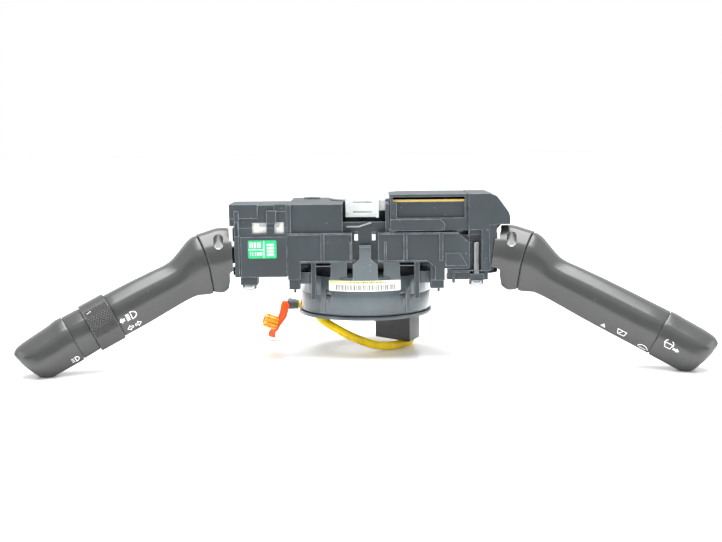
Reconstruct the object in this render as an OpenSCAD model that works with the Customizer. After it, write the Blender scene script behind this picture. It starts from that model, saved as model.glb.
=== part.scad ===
// Steering column combination switch with clock spring (cable reel).
// The column axis is Z. +Z looks up the column to the front of the car, -Y is the top of the column.
// The origin is on the column axis, inside the bush that centres the unit on the column tube.

/* [Column] */
// Bore radius of the bush on the column tube
column_bore_r = 19.5; // [17:0.1:20.5]
// Wall of the column bush
bush_wall = 4; // [3:0.5:5]
// Bush end above the origin
bush_top = 11; // [9.5:0.5:13]
// Bush end below the origin
bush_low = -15; // [-18:0.5:-13]
// Bore radius of the reel rotor, for the steering shaft
shaft_bore_r = 16.5; // [14:0.1:17]

/* [Bracket] */
// Bracket half width towards the lighting switch
bracket_left = 52; // [50:0.5:54]
// Bracket width towards the wiper switch
bracket_right = 62; // [60:0.5:62.2]
// Front face of the lower panel, measured from the column axis
bracket_front = 56; // [55:0.5:57]
// Back face of the bracket
bracket_back = 24; // [22:0.5:34]
// Top face of the bracket
bracket_top = 8.3; // [7:0.1:9]
// Upper edge of the lower front panel
panel_top = -11; // [-13:0.5:-10.5]
// Lower edge of the lower front panel
panel_low = -30; // [-32:0.5:-28]
// General wall of the bracket
bracket_wall = 2.4; // [1.8:0.1:3]
// Distance between the two bracket screw holes
bracket_screw_pitch = 76; // [70:1:84]
// Radius of the bracket screw holes
bracket_screw_r = 2.7; // [2:0.1:3.2]

/* [Switch cases] */
// Distance of the lever pivots from the column axis
pivot_x = 77; // [76.5:0.1:77.5]
// Distance of the lever pivots in front of the column axis
pivot_front = 38.5; // [38:0.1:39]
// Height of the tilt pin
pivot_z = -26; // [-27:0.2:-25]
// Outer radius of the round case end at a lever pivot
nose_r = 13.6; // [13.4:0.1:14]
// Wall of the switch cases
case_wall = 1.5; // [1.2:0.1:1.6]
// Front face of the switch cases, measured from the column axis
case_front = 57; // [56.5:0.1:58]
// Back edge of the switch cases, measured from the column axis
case_back = 14; // [12:0.5:16]
// Underside of the lighting switch case
lighting_low = -40; // [-41:0.2:-39.6]
// Top of the lighting switch case
lighting_top = 8.8; // [8:0.1:9.6]
// Underside of the wiper switch case
wiper_low = -37; // [-37.6:0.2:-36.8]
// Top of the wiper switch case and of the control unit lid
wiper_top = 14.6; // [13.6:0.1:15.6]

/* [Levers] */
// Angle of the levers towards the top of the column, seen along the column
lever_sweep = 19.2; // [17:0.1:20]
// Angle of the levers towards the driver
lever_droop = 26.1; // [25:0.1:26.6]
// Distance from the pivot to the seam between hub and lever, level
lever_reach = 33.9; // [33:0.1:35]
// Height of the lever axis at that seam
lever_z = -32.8; // [-33.4:0.1:-32.2]
// Half height of the lever bodies
lever_half = 14.4; // [13.6:0.1:15]
// Lever length from the seam to the inner edge of the fog lamp ring
ring_start = 68.2; // [66:0.1:70]
// Width of the fog lamp ring
ring_w = 18; // [16:0.5:19]
// Radius of the fog lamp ring
ring_r = 16; // [15.4:0.1:16.4]
// Width of the fixed collar beside the ring
collar_w = 12; // [11:0.5:13]
// Length of the end knob and of the wiper lever's end cap
knob_len = 33; // [31:0.5:35]
// Radius of the tube in the lighting lever that the ring turns on
spigot_r = 9; // [8:0.1:10]
// Radius of the rod that carries the end knob
rod_r = 4; // [3:0.1:5]

/* [Reel] */
// Radius of the reel case
reel_r = 46.6; // [45:0.1:48]
// Radius of the rotor's face plate
rotor_r = 47.8; // [46.5:0.1:49]
// Driver side of the rotor's face plate
rotor_face = -72; // [-73:0.2:-71.4]
// Thickness of the rotor's face plate
rotor_plate = 2.6; // [2:0.1:3]
// Seam between the two reel shells
reel_seam = -55.7; // [-57:0.1:-54]
// Column side of the reel case
reel_top = -42.5; // [-43.5:0.1:-42]
// Wall of the reel shells
reel_wall = 1.8; // [1.4:0.1:2.2]
// Wall of the rotor's hub
rotor_hub_wall = 3; // [2.4:0.1:3.4]
// Running clearance of turning fits, on the radius
fit_gap = 0.05; // [0.03:0.01:0.08]
// Number of turns of the flat cable
ribbon_turns = 4; // [2:1:5]

/* [Tower and lead] */
// Length of the connector tower below the rotor's face
tower_len = 22.6; // [18:0.1:22.8]
// Wall of the connector tower
tower_wall = 2; // [1.6:0.1:2.4]
// Diameter of the yellow sleeve on the airbag lead
lead_d = 5; // [4.6:0.1:5]

/* [Hidden] */
$fn = 64;

dark = "#3a3d3f";
darker = "#2b2d2f";
grey = "#c4cac9";
white = "#e8e8e2";
brass = "#c9a441";

seat_gap = 0.3;
collar_r = column_bore_r + bush_wall + 3.4;
socket_wall = 1.6;
pin_side = 0.8;
pitch = 2.5;
screw_set = 2.4;

// Places along the lever, from the seam
collar_start = ring_start + ring_w;
knob_start = collar_start + collar_w;
knob_gap = 0.4;

// Size of the lever's root and of the carrier that holds it
carrier_r = nose_r - case_wall - 0.6;
carrier_half = 9.4;
tongue_half = 4.8;
tongue_r = 5.5;
tongue_room = 7.2;
tilt_pin_r = 2;
trunnion_r = 3.2;
trunnion_len = 2.6;
hub_gap = 2.6;
hub_face = nose_r + hub_gap;
plunger_r = 2.4;
plunger_reach = carrier_r + 0.6;

// Control unit beside the column
control_left = 17;
control_right = 68.8;
control_low = panel_top + 1.2;
control_shelf = -2;
board_z = 9.3;
board_t = 1.6;
lid_t = 2;

// Front block of the reel, with the hook that holds it to the bracket
block_half = 31;
block_low = -67;
block_front = reel_r + 4.9;
boss_top = bracket_top + 1;
back_low = reel_top + 0.3;
socket_floor = reel_r + 1.4;
socket_end = reel_r + 11.4;
hook_top = -19.5;
hook_half = 3.9;
hook_root_half = 8.4;

// Route of the yellow sleeve, from the rotor's face to the boot
LEAD = [
    [-33, -18, -71.1], [-32, -19.5, -74], [-27.5, -24, -77], [-20, -26, -80.5], [-13, -25, -85],
    [-5, -22, -90], [4, -17, -94.5], [13, -11, -97], [21, -5, -97.5], [28, 3, -97.5],
    [32, 12, -97.5], [33, 22, -97], [30, 32, -96], [24, 40, -94.5], [15, 46, -92],
    [4, 49, -88.5], [-8, 50, -84], [-20, 49, -79], [-31, 46, -74], [-40, 42.5, -70],
    [-46, 40, -68], [-51, 38.5, -67.4]
];
LEAD_SIDES = 10;

function unit(v) = v / norm(v);
function along(path, i) = unit(path[min(i + 1, len(path) - 1)] - path[max(i - 1, 0)]);
function side_of(t) = unit(cross(t, [0.1, 0.2, 1]));

// A point on a smooth curve through the route
function spline(p, i, t) =
    let(a = p[max(i - 1, 0)], b = p[i], c = p[min(i + 1, len(p) - 1)], d = p[min(i + 2, len(p) - 1)])
    0.5 * (2 * b + (c - a) * t + (2 * a - 5 * b + 4 * c - d) * t * t + (3 * b - a - 3 * c + d) * t * t * t);
function smooth(p, n) = concat([for (i = [0:len(p) - 2], k = [0:n - 1]) spline(p, i, k / n)], [p[len(p) - 1]]);

// Faces of a tube or loft with n points in each of m rings
function skin_faces(n, m) = concat(
    [[for (j = [0:n - 1]) j]],
    [for (i = [0:m - 2], j = [0:n - 1])
        [i * n + j, (i + 1) * n + j, (i + 1) * n + (j + 1) % n, i * n + (j + 1) % n]],
    [[for (j = [n - 1:-1:0]) (m - 1) * n + j]]
);

module swept_tube(path, r, n) {
    points = [for (i = [0:len(path) - 1], j = [0:n - 1])
        let(t = along(path, i), u = side_of(t), v = cross(t, u), a = 360 * j / n)
        path[i] + r * (cos(a) * u + sin(a) * v)];
    polyhedron(points, skin_faces(n, len(path)), convexity = 6);
}

// One ring of a lever: place along the axis, half height, half depth, shift up, slant of its plane
LOFT_N = 32;
// The section's flat sides: direction up, direction out and distance, for the front half
LEVER_SIDES = [[1, 0, 1], [0.8, 0.6, 1], [0.2, 0.98, 1], [-0.552, 0.834, 0.9], [-1, 0, 1]];
SIDE_POWER = 11;
function section_r(a) = pow(
    [for (s = LEVER_SIDES) pow(max(0, (s[0] * cos(a) + s[1] * abs(sin(a))) / s[2]), SIDE_POWER)]
        * [for (s = LEVER_SIDES) 1], -1 / SIDE_POWER);
function lever_ring(r) = [for (j = [0:LOFT_N - 1])
    let(a = 360 * j / LOFT_N, x = r[1] * section_r(a) * cos(a) + r[3], y = r[2] * section_r(a) * sin(a))
    [x, y, r[0] + r[4] * x]];
module lever_loft(rings) {
    points = [for (r = rings) for (q = lever_ring(r)) q];
    polyhedron(points, skin_faces(LOFT_N, len(rings)), convexity = 6);
}

module block(x, y, z) {
    translate([x[0], y[0], z[0]]) cube([x[1] - x[0], y[1] - y[0], z[1] - z[0]]);
}

// An outline seen from the front (X and Z), between two depths
module front_sheet(points, y) {
    translate([0, y[1], 0]) rotate([90, 0, 0]) linear_extrude(y[1] - y[0]) polygon(points);
}

module tube(r_out, r_in, z) {
    translate([0, 0, z[0]]) difference() {
        cylinder(r = r_out, h = z[1] - z[0]);
        translate([0, 0, -1]) cylinder(r = r_in, h = z[1] - z[0] + 2);
    }
}

module disc(r, z) {
    translate([0, 0, z[0]]) cylinder(r = r, h = z[1] - z[0]);
}

// The left lever's pivot frame: local -X points out along the lever, level
module pivot_frame() {
    translate([-pivot_x, -pivot_front, pivot_z]) rotate([0, 0, lever_sweep]) children();
}

// The left lever's own frame: Z out along the lever, X up, with its origin at the hub's seam
module lever_frame() {
    translate([-pivot_x, -pivot_front, lever_z]) rotate([0, 0, lever_sweep])
        translate([-lever_reach, 0, 0]) rotate([0, -90 - lever_droop, 0]) children();
}

module right_side() {
    mirror([1, 0, 0]) children();
}

// Plates, walls and ribs of the bracket
module bracket_plates() {
    w = bracket_wall;
    f = bracket_front;
    recess = 15;
    bay = 9;
    leg = [33.2, 36.4];
    // Upper wall and roof on the lighting side
    block([-bracket_left, -recess], [-f + 1.8, -f + 1.8 + w], [panel_top - 1, bracket_top]);
    block([-bracket_left, bracket_right], [-12, bracket_back], [bracket_top - w, bracket_top]);
    block([-bracket_left, -recess], [-f + 1.8, -12], [bracket_top - w, bracket_top]);
    for (x = [-recess - w, recess - 1])
        block([x, x + w], [-f + 1.8, -24], [panel_top - 1, bracket_top]);
    // Lower front panel with its chamfered end, its raised field and its ribs
    front_sheet([
        [-bracket_left, panel_top], [-bay, panel_top], [-bay, panel_low], [-43.5, panel_low],
        [-43.5, back_low], [-bracket_left, back_low]
    ], [-f, -f + w]);
    front_sheet([
        [bay, panel_top], [62, panel_top], [70, panel_top - 7], [70, -35.5], [53.5, -35.5],
        [53.5, -43.4], [47, -43.4], [47, -34], [41, panel_low], [bay, panel_low]
    ], [-f, -f + w]);
    front_sheet([[54, -33.5], [68.5, -33.5], [63.5, -25], [54, -25]], [-f - 0.8, -f + 1]);
    for (x = [-28.5, 27, 51])
        block([x - 1.1, x + 1.1], [-f - 1, -f + w], [panel_low, panel_top]);
    for (x = [-bay - 1, 13])
        block([x, x + 1.2], [-f - 0.7, -f + w], [panel_low, panel_top - 6]);
    block([-bracket_left, -bay], [-f - 0.9, -f + w], [panel_top - 1, panel_top]);
    block([bay, 62], [-f - 0.9, -f + w], [panel_top - 1, panel_top]);
    block([-43.5, -bay], [-f - 0.7, -f + w], [panel_low - 0.8, panel_low + 0.4]);
    block([bay, 41], [-f - 0.7, -f + w], [panel_low - 0.8, panel_low + 0.4]);
    // Set-back strip behind the reel's hook
    block([-recess, recess], [-50.4, -50.4 + w], [panel_low, -4]);
    for (s = [-1, 1])
        block([s * 12.5 - 3.6, s * 12.5 + 3.6], [-f, -50.4 + w], [panel_low, panel_top]);
    // Legs beside the reel's front block
    for (s = [-1, 1])
        block([s * 34.8 - 1.6, s * 34.8 + 1.6], [-f + 1, -46], [-56, panel_low + 1]);
    // Side and back walls
    block([-bracket_left, -bracket_left + w], [-f, bracket_back], [back_low, bracket_top]);
    block([bracket_right - w, bracket_right], [-f + w - 0.2, bracket_back], [back_low, bracket_top]);
    block([-bracket_left, bracket_right], [bracket_back - w, bracket_back], [back_low, bracket_top]);
    // Feet under the two ends
    block([55, 69.6], [-f + 0.4, -f + w], [-43, -35]);
    block([55, 69.6], [-f + 0.4, -46], [-43, wiper_low - 3]);
    block([-51.4, -44], [-54, -44], [-49, -38]);
    block([44, 53], [-54, -44], [-49, -43]);
    block([44, 53.5], [-f + w - 1, -44], [-43.4, panel_low + 1]);
    for (x = [-47.5, 49.5])
        translate([x, -51, 0]) disc(0.9, [-51.5, -48]);
}

// Main moulding that carries both switches and the reel
module switch_bracket() {
    color(dark) difference() {
        union() {
            difference() {
                bracket_plates();
                // Room for the control unit, for the slots, the window behind them and the reel's ears
                block([17, bracket_right + 1], [-bracket_front - 2, -case_back + 1.6], [panel_top + 0.01, bracket_top + 1]);
                for (s = [-1, 1])
                    block([s * 5.9 - 1.1, s * 5.9 + 1.1], [-52, -46], [panel_top - 5.6, panel_top + 0.4]);
                block([-14, 14], [bracket_back - bracket_wall - 1, bracket_back + 1], [back_low - 1, panel_top - 1]);
                block([-47.8, -36.6], [-46.5, -8], [-60, panel_low - 5]);
            }
            // Collar that holds the column bush, and the screw bosses beside it
            disc(collar_r, [-10, bracket_top]);
            for (s = [-1, 1])
                translate([s * bracket_screw_pitch / 2, 10, 0]) disc(6, [-6, boss_top]);
        }
        // Seat of the bush and screw holes
        disc(column_bore_r + bush_wall, [-30, bracket_top + 1]);
        for (s = [-1, 1])
            translate([s * bracket_screw_pitch / 2, 10, 0]) disc(bracket_screw_r, [-10, boss_top + 1]);
    }
}

// Light grey bush that centres the unit on the column tube
module column_bush() {
    color(grey) {
        tube(column_bore_r + bush_wall - fit_gap, column_bore_r, [bush_low, bush_top]);
        tube(column_bore_r + bush_wall + 1.6, column_bore_r + bush_wall - 1, [bracket_top + 0.1, bush_top - 0.8]);
    }
}

// Clip with two slots on the front of the bush
module bush_clip() {
    front = -47;
    low = -1;
    top = 11.6;
    color(grey) difference() {
        union() {
            block([-13, 9.3], [front, front + 2], [low, top]);
            block([-13, -11], [front - 1, front + 6], [low + 3, top - 2]);
            block([7.6, 9.6], [front - 1.4, front + 6], [low - 0.5, top + 1]);
            block([-9, 7.6], [front + 1, -20], [bracket_top + 0.3 + 0.8, top - 1.4]);
            block([9, 14], [front + 4, front + 8], [3, 10.4]);
        }
        for (z = [2, 8.6])
            block([-8, 5], [front - 1, front + 1.2], [z, z + 1]);
        disc(column_bore_r + bush_wall + 1.6 + 0.05, [low - 1, top + 1]);
    }
}

// Round end of a switch case round the lever pivot, solid
module nose(z) {
    translate([-pivot_x, -pivot_front, 0]) disc(nose_r, z);
}

// Space for the lever carrier, its two bearings and its window
module nose_room(z_floor) {
    translate([-pivot_x, -pivot_front, 0]) {
        disc(carrier_r + 0.6, [pivot_z - carrier_half - 0.4, pivot_z + carrier_half + 0.4]);
        disc(trunnion_r + fit_gap, [z_floor - 3.6, pivot_z + carrier_half + 3.2]);
    }
    pivot_frame() block([-nose_r - 3, -5], [-10.5, 10.5], [-9, 9]);
}

// Inside of a switch case behind the nose, open at the back
module case_room(x, z) {
    block(x, [-pivot_front, -case_back + 1], z);
}

// Outline of the lighting switch case without its inside
module lighting_case_outer() {
    f = case_front;
    nose([lighting_low, -8]);
    block([-87.4, -bracket_left - 0.3], [-f + 0.8, -case_back], [lighting_low, -7]);
    block([-90.6, -bracket_left - 0.3], [-f + 1, -case_back], [-5.6, lighting_top - 0.6]);
    block([-87.4, -bracket_left - 0.3], [-f + 1, -case_back], [-8, -5]);
    // Raised strips on the top edge
    block([-90.6, -71.5], [-f, -case_back - 10], [-0.5, lighting_top]);
    block([-60.5, -bracket_left - 0.3], [-f + 0.6, -case_back - 10], [4, lighting_top]);
    // Front column, label field and skirt
    block([-87.2, -84.2], [-f - 0.6, -f + 2], [lighting_low, 4.4]);
    block([-83.2, -bracket_left - 0.3], [-f, -f + 2], [lighting_low, -13]);
    block([-65.6, -59.2], [-f - 1, -f + 2], [-4.2, 4.6]);
    // Sloped flank behind the column
    front_sheet([[-90.2, 6], [-91.2, 6], [-94.6, -3], [-94.6, -6.6], [-90.2, -6.6]], [-22, -case_back]);
    // Foot for the fixing screw
    block([-84, -72.5], [-54, -42], [lighting_low - 5.6, lighting_low]);
}

module lighting_case() {
    f = case_front;
    w = case_wall;
    color(dark) difference() {
        lighting_case_outer();
        nose_room(lighting_low);
        // Lower inside, upper inside and the open back
        case_room([-86.4, -bracket_left - 0.3 - w], [pivot_z - carrier_half - 0.4, pivot_z + carrier_half + 0.4]);
        block([-72.2, -bracket_left - 0.3 - w], [-f + 2.5, -case_back + 1], [pivot_z - carrier_half - 0.4, -11.3]);
        block([-86.4, -bracket_left - 0.3 - w], [-f + 2.6, -case_back + 1], [-11.4, lighting_top - 2.2]);
        // Two windows and the clip slot
        block([-75.3, -65.8], [-f - 2, -f + 4], [-10.8, -3.6]);
        block([-60.3, -bracket_left - 0.3 - w], [-f - 2, -f + 4], [-10.8, -3.3]);
        block([-87.4, -84.8], [-f - 2, -f + 0.6], [-12.4, -3]);
        // Slot between the front column and the label field
        block([-84.2, -83.2], [-f - 1, -f + 0.9], [lighting_low - 1, -13]);
        // Hole of the fixing screw
        translate([-78.5, -49, 0]) disc(2.1, [lighting_low - 6, lighting_low + 0.6]);
    }
}

// White contact carrier in the lighting switch
module lighting_base() {
    f = case_front;
    x_in = -bracket_left - 0.3 - case_wall;
    x_arm = -pivot_x + plunger_reach + 0.7;
    color(white) {
        block([-86, x_in - seat_gap], [-f + 2.9, -case_back - 3], [-11, 1.6]);
        block([x_arm, x_in - seat_gap], [-f + 2.9, -case_back - 3], [pivot_z - carrier_half, -11]);
    }
}

// Back cover of a left-hand switch with its plug socket
module back_cover(outline, socket_x, socket_z) {
    color(darker) difference() {
        union() {
            front_sheet(outline, [-case_back + 0.05, -case_back + 2]);
            block(socket_x, [-case_back, -case_back + 14], socket_z);
        }
        block([socket_x[0] + socket_wall, socket_x[1] - socket_wall], [-case_back + 2, -case_back + 15],
            [socket_z[0] + socket_wall, socket_z[1] - socket_wall]);
    }
}

// Two rows of contact pins that stand in a socket, facing back
module socket_pins(x, z, count) {
    color(brass) for (i = [0:count - 1], k = [0, 1])
        translate([x + i * pitch, -case_back + 2, z + k * 3.6])
            block([-pin_side / 2, pin_side / 2], [0, 6], [-pin_side / 2, pin_side / 2]);
}

module lighting_cover() {
    back_cover([
        [-90.6, lighting_top - 0.6], [-90.6, -6.6], [-87.4, -6.6], [-87.4, lighting_low],
        [-bracket_left - 0.3, lighting_low], [-bracket_left - 0.3, lighting_top - 0.6]
    ], [-86, -62], [-9, 2.4]);
}

module lighting_pins() {
    socket_pins(-82.5, -5.1, 8);
}

// Bevelled shoulder of the wiper switch case seen from the front, drawn for the left and mirrored
SHOULDER = [
    [-69.2, wiper_top], [-83.7, wiper_top], [-88, wiper_top - 1.6], [-91.5, wiper_top - 6],
    [-96.2, wiper_top - 12.6], [-97.1, wiper_top - 15.6], [-97.1, wiper_top - 20.6]
];

module wiper_case_outer() {
    f = case_front;
    nose([wiper_low - 2.6, -13]);
    front_sheet(concat(SHOULDER, [[-88, wiper_top - 20.6], [-88, -13.5], [-69.2, -13.5]]), [-f, -case_back]);
    front_sheet(concat(SHOULDER, [[-97.1, -7], [-91.4, -13.5], [-69.2, -13.5]]), [-20, -case_back]);
    block([-86.4, -bracket_right - 0.6], [-f + 4.4, -case_back], [wiper_low, -13]);
    block([-84, -70.4], [-f, -f + 5], [wiper_low, -13]);
    // Foot for the fixing screw
    block([-82.5, -72], [-f + 2, -44], [wiper_low - 6.4, wiper_low]);
    block([-79.6, -70.2], [-f - 0.6, -46], [wiper_low - 6.4, wiper_low - 2]);
}

module wiper_case() {
    f = case_front;
    w = case_wall;
    color(dark) right_side() difference() {
        wiper_case_outer();
        nose_room(wiper_low);
        case_room([-84.9, -bracket_right - 0.6 - w], [pivot_z - carrier_half - 0.4, pivot_z + carrier_half + 0.4]);
        front_sheet([
            [-71, -11.4], [-71, wiper_top - 2.2], [-83.4, wiper_top - 2.2], [-86.6, wiper_top - 3.4],
            [-89.6, wiper_top - 7], [-94.2, wiper_top - 13.4], [-95, wiper_top - 16],
            [-95, wiper_top - 19], [-86.4, wiper_top - 19], [-86.4, -11.4]
        ], [-f + 3, -case_back + 1]);
        // Channel of the long fixing screw
        block([-78, -70], [-f - 1, -f + 2.4], [-13, -9.5]);
        block([-78, -70], [-f - 1, -f + 4.8], [wiper_low + 0.4, -13]);
        translate([-74.6, -f + screw_set, 0]) disc(2.1, [wiper_low - 7, wiper_low + 1]);
        // Line between the housing and the foot part
        block([-88.5, -81], [-f - 1, -f + 0.5], [-9.9, -9.4]);
    }
}

module wiper_base() {
    f = case_front;
    color(white) right_side() front_sheet([
        [-71.6, -11], [-71.6, 6], [-89.6, 6], [-89.6, wiper_top - 18.7],
        [-86, wiper_top - 18.7], [-86, -11]
    ], [-f + 3.4, -case_back - 3]);
}

module wiper_cover() {
    low = wiper_low + 0.2;
    right_side() back_cover(
        concat(SHOULDER, [[-97.1, -7], [-91.4, -13.5], [-86.4, -13.5], [-86.4, low], [-69.2, low]]),
        [-86.5, -70.5], [-9, 2.4]);
}

module wiper_pins() {
    right_side() socket_pins(-83.2, -5.1, 5);
}

// Control unit in the corner between bracket and wiper switch
module control_case() {
    w = 1.8;
    f = bracket_front;
    x = [control_left, control_right];
    color(dark) difference() {
        union() {
            block(x, [-f + 0.8, -case_back], [control_low, wiper_top - lid_t - 0.1]);
            front_sheet([
                [control_left, control_low], [53.4, control_low], [53.4, control_shelf - 3.2],
                [50.4, control_shelf - 0.2], [control_left, control_shelf - 0.2]
            ], [-f - 0.6, -f + 2]);
        }
        disc(collar_r + seat_gap, [control_low - 1, wiper_top]);
        // Set-back front field, and the gap above it for the board's edge
        block([x[0] + 4.4, x[1] - w], [-f - 1, -f + 3.6], [control_shelf + 0.5, wiper_top]);
        block([x[0] + 2, x[1] - w], [-f - 1, -f + 6], [board_z - seat_gap, wiper_top]);
        difference() {
            block([x[0] + w, x[1] - w], [-f + 5.2, -case_back - w], [control_low + w, wiper_top]);
            disc(collar_r + seat_gap + w, [control_low, wiper_top + 1]);
        }
    }
}

module control_lid() {
    f = bracket_front;
    color(dark) difference() {
        union() {
            block([control_left - 0.4, control_right], [-f + 0.2, -case_back], [wiper_top - lid_t, wiper_top]);
            block([32, control_right - 2.2], [-case_back - 3.4, -case_back - 2.2], [wiper_top - 3, wiper_top - 1]);
        }
        disc(collar_r + seat_gap, [0, wiper_top + 1]);
    }
}

// Circuit board whose edge shows under the lid
module control_board() {
    x = [control_left + 2.1, control_right - 2.1];
    color("#b9a869") difference() {
        block(x, [-bracket_front + 2.6, -case_back - 4], [board_z, board_z + board_t]);
        disc(collar_r + seat_gap + 2.2, [board_z - 1, board_z + 3]);
    }
    color(darker) for (i = [0:2])
        block([28 + i * 12, 36 + i * 12], [-42, -32], [board_z - 2.4, board_z + 0.2]);
}

// Long screw and head that hold one switch
module module_screw(x, y, head_z, tip_z) {
    translate([x, y, 0]) {
        disc(2, [head_z - 0.5, tip_z]);
        disc(4.9, [head_z - 3.2, head_z - 0.4]);
        translate([0, 0, head_z - 4.2]) cylinder(r1 = 3.4, r2 = 4.9, h = 1);
    }
}

module module_screws() {
    color("#8f9496") {
        module_screw(-78.5, -49, lighting_low - 5.6 + 0.4, lighting_low + 0.5);
        module_screw(74.6, -case_front + screw_set, wiper_low - 6.4 + 0.4, -18);
    }
}

// Column-side shell of the reel with its front block and hook
module reel_case() {
    hub_r = shaft_bore_r + rotor_hub_wall + fit_gap;
    color(dark) difference() {
        union() {
            difference() {
                disc(reel_r, [reel_seam, reel_top]);
                disc(reel_r - reel_wall, [reel_seam - 1, reel_top - 2]);
            }
            tube(hub_r + 2.4, hub_r, [reel_top - 6, reel_top]);
            // Front block, curved like the drum
            intersection() {
                disc(block_front, [block_low, reel_top + 0.6]);
                block([-block_half, block_half], [-60, -40], [block_low - 1, reel_top + 1]);
            }
            // Hook that snaps over the bracket
            front_sheet([
                [-hook_root_half, reel_top - 1], [-hook_root_half, reel_top + 10], [-hook_half - 1.4, reel_top + 12],
                [-hook_half, reel_top + 14], [-hook_half, hook_top], [hook_half, hook_top],
                [hook_half, reel_top + 14], [hook_half + 1.4, reel_top + 12],
                [hook_root_half, reel_top + 10], [hook_root_half, reel_top - 1]
            ], [-block_front - 1.9, -block_front + 0.3]);
            block([-hook_half, hook_half], [-block_front - 2.7, -block_front + 0.3], [hook_top - 1.6, hook_top]);
            block([-hook_root_half, hook_root_half], [-block_front - 1.9, -reel_r + 0.6], [reel_top - 1, reel_top + 1]);
            // Latches at both sides of the hook
            for (s = [-1, 1]) {
                block([s * 18 - 5.5, s * 18 + 5.5], [-48.4, -46.4], [reel_top - 1, -32]);
                block([s * 18 - 5.5, s * 18 + 5.5], [-48.4, -43], [-33.6, -32]);
            }
            block([-24, 24], [-46, -41], [reel_top - 1, reel_top + 1.2]);
            // Ears at both sides
            for (s = [-1, 1])
                translate([s * (reel_r - 5.1), -19, 0]) block([-4.4, 4.4], [-6, 6], [-49, reel_top + 1.6]);
            // Plug socket at the back
            block([-14, 14], [reel_r - 8.6, socket_end], [reel_seam + 0.6, reel_top]);
        }
        // Ribbon space, rotor hub and sockets
        disc(reel_r - reel_wall, [block_low - 2, reel_top - 2]);
        disc(hub_r, [reel_seam - 1, reel_top + 3]);
        disc(reel_r + 0.15, [block_low - 1, reel_seam]);
        block([-14 + socket_wall, 14 - socket_wall], [socket_floor, socket_end + 1],
            [reel_seam + 0.6 + socket_wall, reel_top - socket_wall]);
        // Seat of the front door
        intersection() {
            disc(block_front + 1, [block_low - 1, -50.2]);
            difference() {
                block([-27.8, 27.8], [-60, -40], [block_low - 1, -50.2]);
                disc(block_front - 1.4, [block_low - 2, -50]);
            }
        }
    }
}

// Driver-side shell of the reel
module reel_cover() {
    color(dark) difference() {
        disc(reel_r, [rotor_face + rotor_plate + seat_gap, reel_seam]);
        disc(reel_r - reel_wall, [rotor_face, reel_seam + 1]);
    }
}

// Snap-in door on the front block, with two notches at its upper corners
module reel_door() {
    t = 1.2;
    color(dark) difference() {
        intersection() {
            difference() {
                disc(block_front, [block_low, -50.4]);
                disc(block_front - t, [block_low - 1, -50]);
            }
            block([-27.6, 27.6], [-60, -40], [block_low - 1, -50.4]);
        }
        for (s = [-1, 1]) {
            block([s * 25 - 1.8, s * 25 + 1.8], [-60, -40], [-55, -53.6]);
            block([s * 26.4 - 0.4, s * 26.4 + 0.4], [-60, -40], [-57, -53.6]);
        }
    }
}

module reel_socket_pins() {
    color(brass) for (i = [0:5])
        block([-9 + i * 3.6 - 0.4, -9 + i * 3.6 + 0.4], [socket_floor, socket_floor + 4.5], [-50.4, -48]);
}

// Flat cable wound between rotor and case
module ribbon_coil() {
    r_in = shaft_bore_r + rotor_hub_wall + 4;
    r_out = reel_r - reel_wall - 2.5;
    steps = 32;
    t = 0.5;
    n = ribbon_turns * steps;
    function at(i, d) = let(r = r_in + (r_out - r_in) * i / n + d, a = 360 * i / steps) [r * cos(a), r * sin(a)];
    low = rotor_face + rotor_plate + 2 * seat_gap;
    color("#c7a15a") translate([0, 0, low]) linear_extrude(reel_top - 2 - seat_gap - low)
            polygon(concat([for (i = [0:n]) at(i, 0)], [for (i = [n:-1:0]) at(i, t)]));
}

// Face plate of the reel's turning part
module rotor() {
    lead_exit = LEAD[0];
    color(dark) difference() {
        union() {
            disc(rotor_r, [rotor_face, rotor_face + rotor_plate]);
            disc(shaft_bore_r + 5.5, [rotor_face, rotor_face + rotor_plate + 2]);
        }
        disc(shaft_bore_r, [rotor_face - 1, rotor_face + 1]);
        disc(shaft_bore_r + rotor_hub_wall, [rotor_face + 1, rotor_face + 10]);
        // Blind seat where the lead goes in
        translate([lead_exit[0], lead_exit[1], 0]) disc(lead_d / 2 + 0.6, [rotor_face - 1, rotor_face + 1]);
    }
}

// Hub of the turning part, pressed into the face plate from the column side
module rotor_sleeve() {
    color(dark) tube(shaft_bore_r + rotor_hub_wall, shaft_bore_r, [rotor_face + 1, -31]);
}

// Connector tower on the rotor's face, open at its end
TOWER = [[7, 17.5], [31.5, -6], [39.5, 13.5], [19.5, 33]];
module connector_tower() {
    end = rotor_face - tower_len;
    color(darker) difference() {
        translate([0, 0, end]) linear_extrude(tower_len) polygon(TOWER);
        translate([0, 0, end - 1]) linear_extrude(12) offset(delta = -tower_wall) polygon(TOWER);
    }
}

module tower_pins() {
    end = rotor_face - tower_len;
    color(brass) translate([23.5, 14.5, 0]) rotate([0, 0, -44])
        for (i = [-3:3], k = [-1, 1])
            translate([i * 3, k * 2.6, 0]) block([-0.5, 0.5], [-0.5, 0.5], [end + 6, end + 11]);
}

// Cam that returns the turn signal
module cancel_sleeve() {
    r = shaft_bore_r + rotor_hub_wall;
    color(white) difference() {
        union() {
            disc(r + 2.2, [-39.6, -32]);
            for (a = [90, 270])
                rotate([0, 0, a]) block([r, r + 5], [-4, 4], [-38, -33]);
        }
        disc(r, [-42, -30]);
    }
}

// Yellow sleeved airbag lead
module airbag_lead() {
    color("#d0b020") swept_tube(smooth(LEAD, 2), lead_d / 2, LEAD_SIDES);
}

// Rubber boot between the sleeve and the plug, along the sleeve's last stretch
BOOT_IN = LEAD[len(LEAD) - 1];
module lead_boot() {
    color("#4a4d4f") translate(BOOT_IN) rotate([0, -90, 12]) cylinder(r1 = 3.1, r2 = 3.9, h = 8);
}

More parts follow.
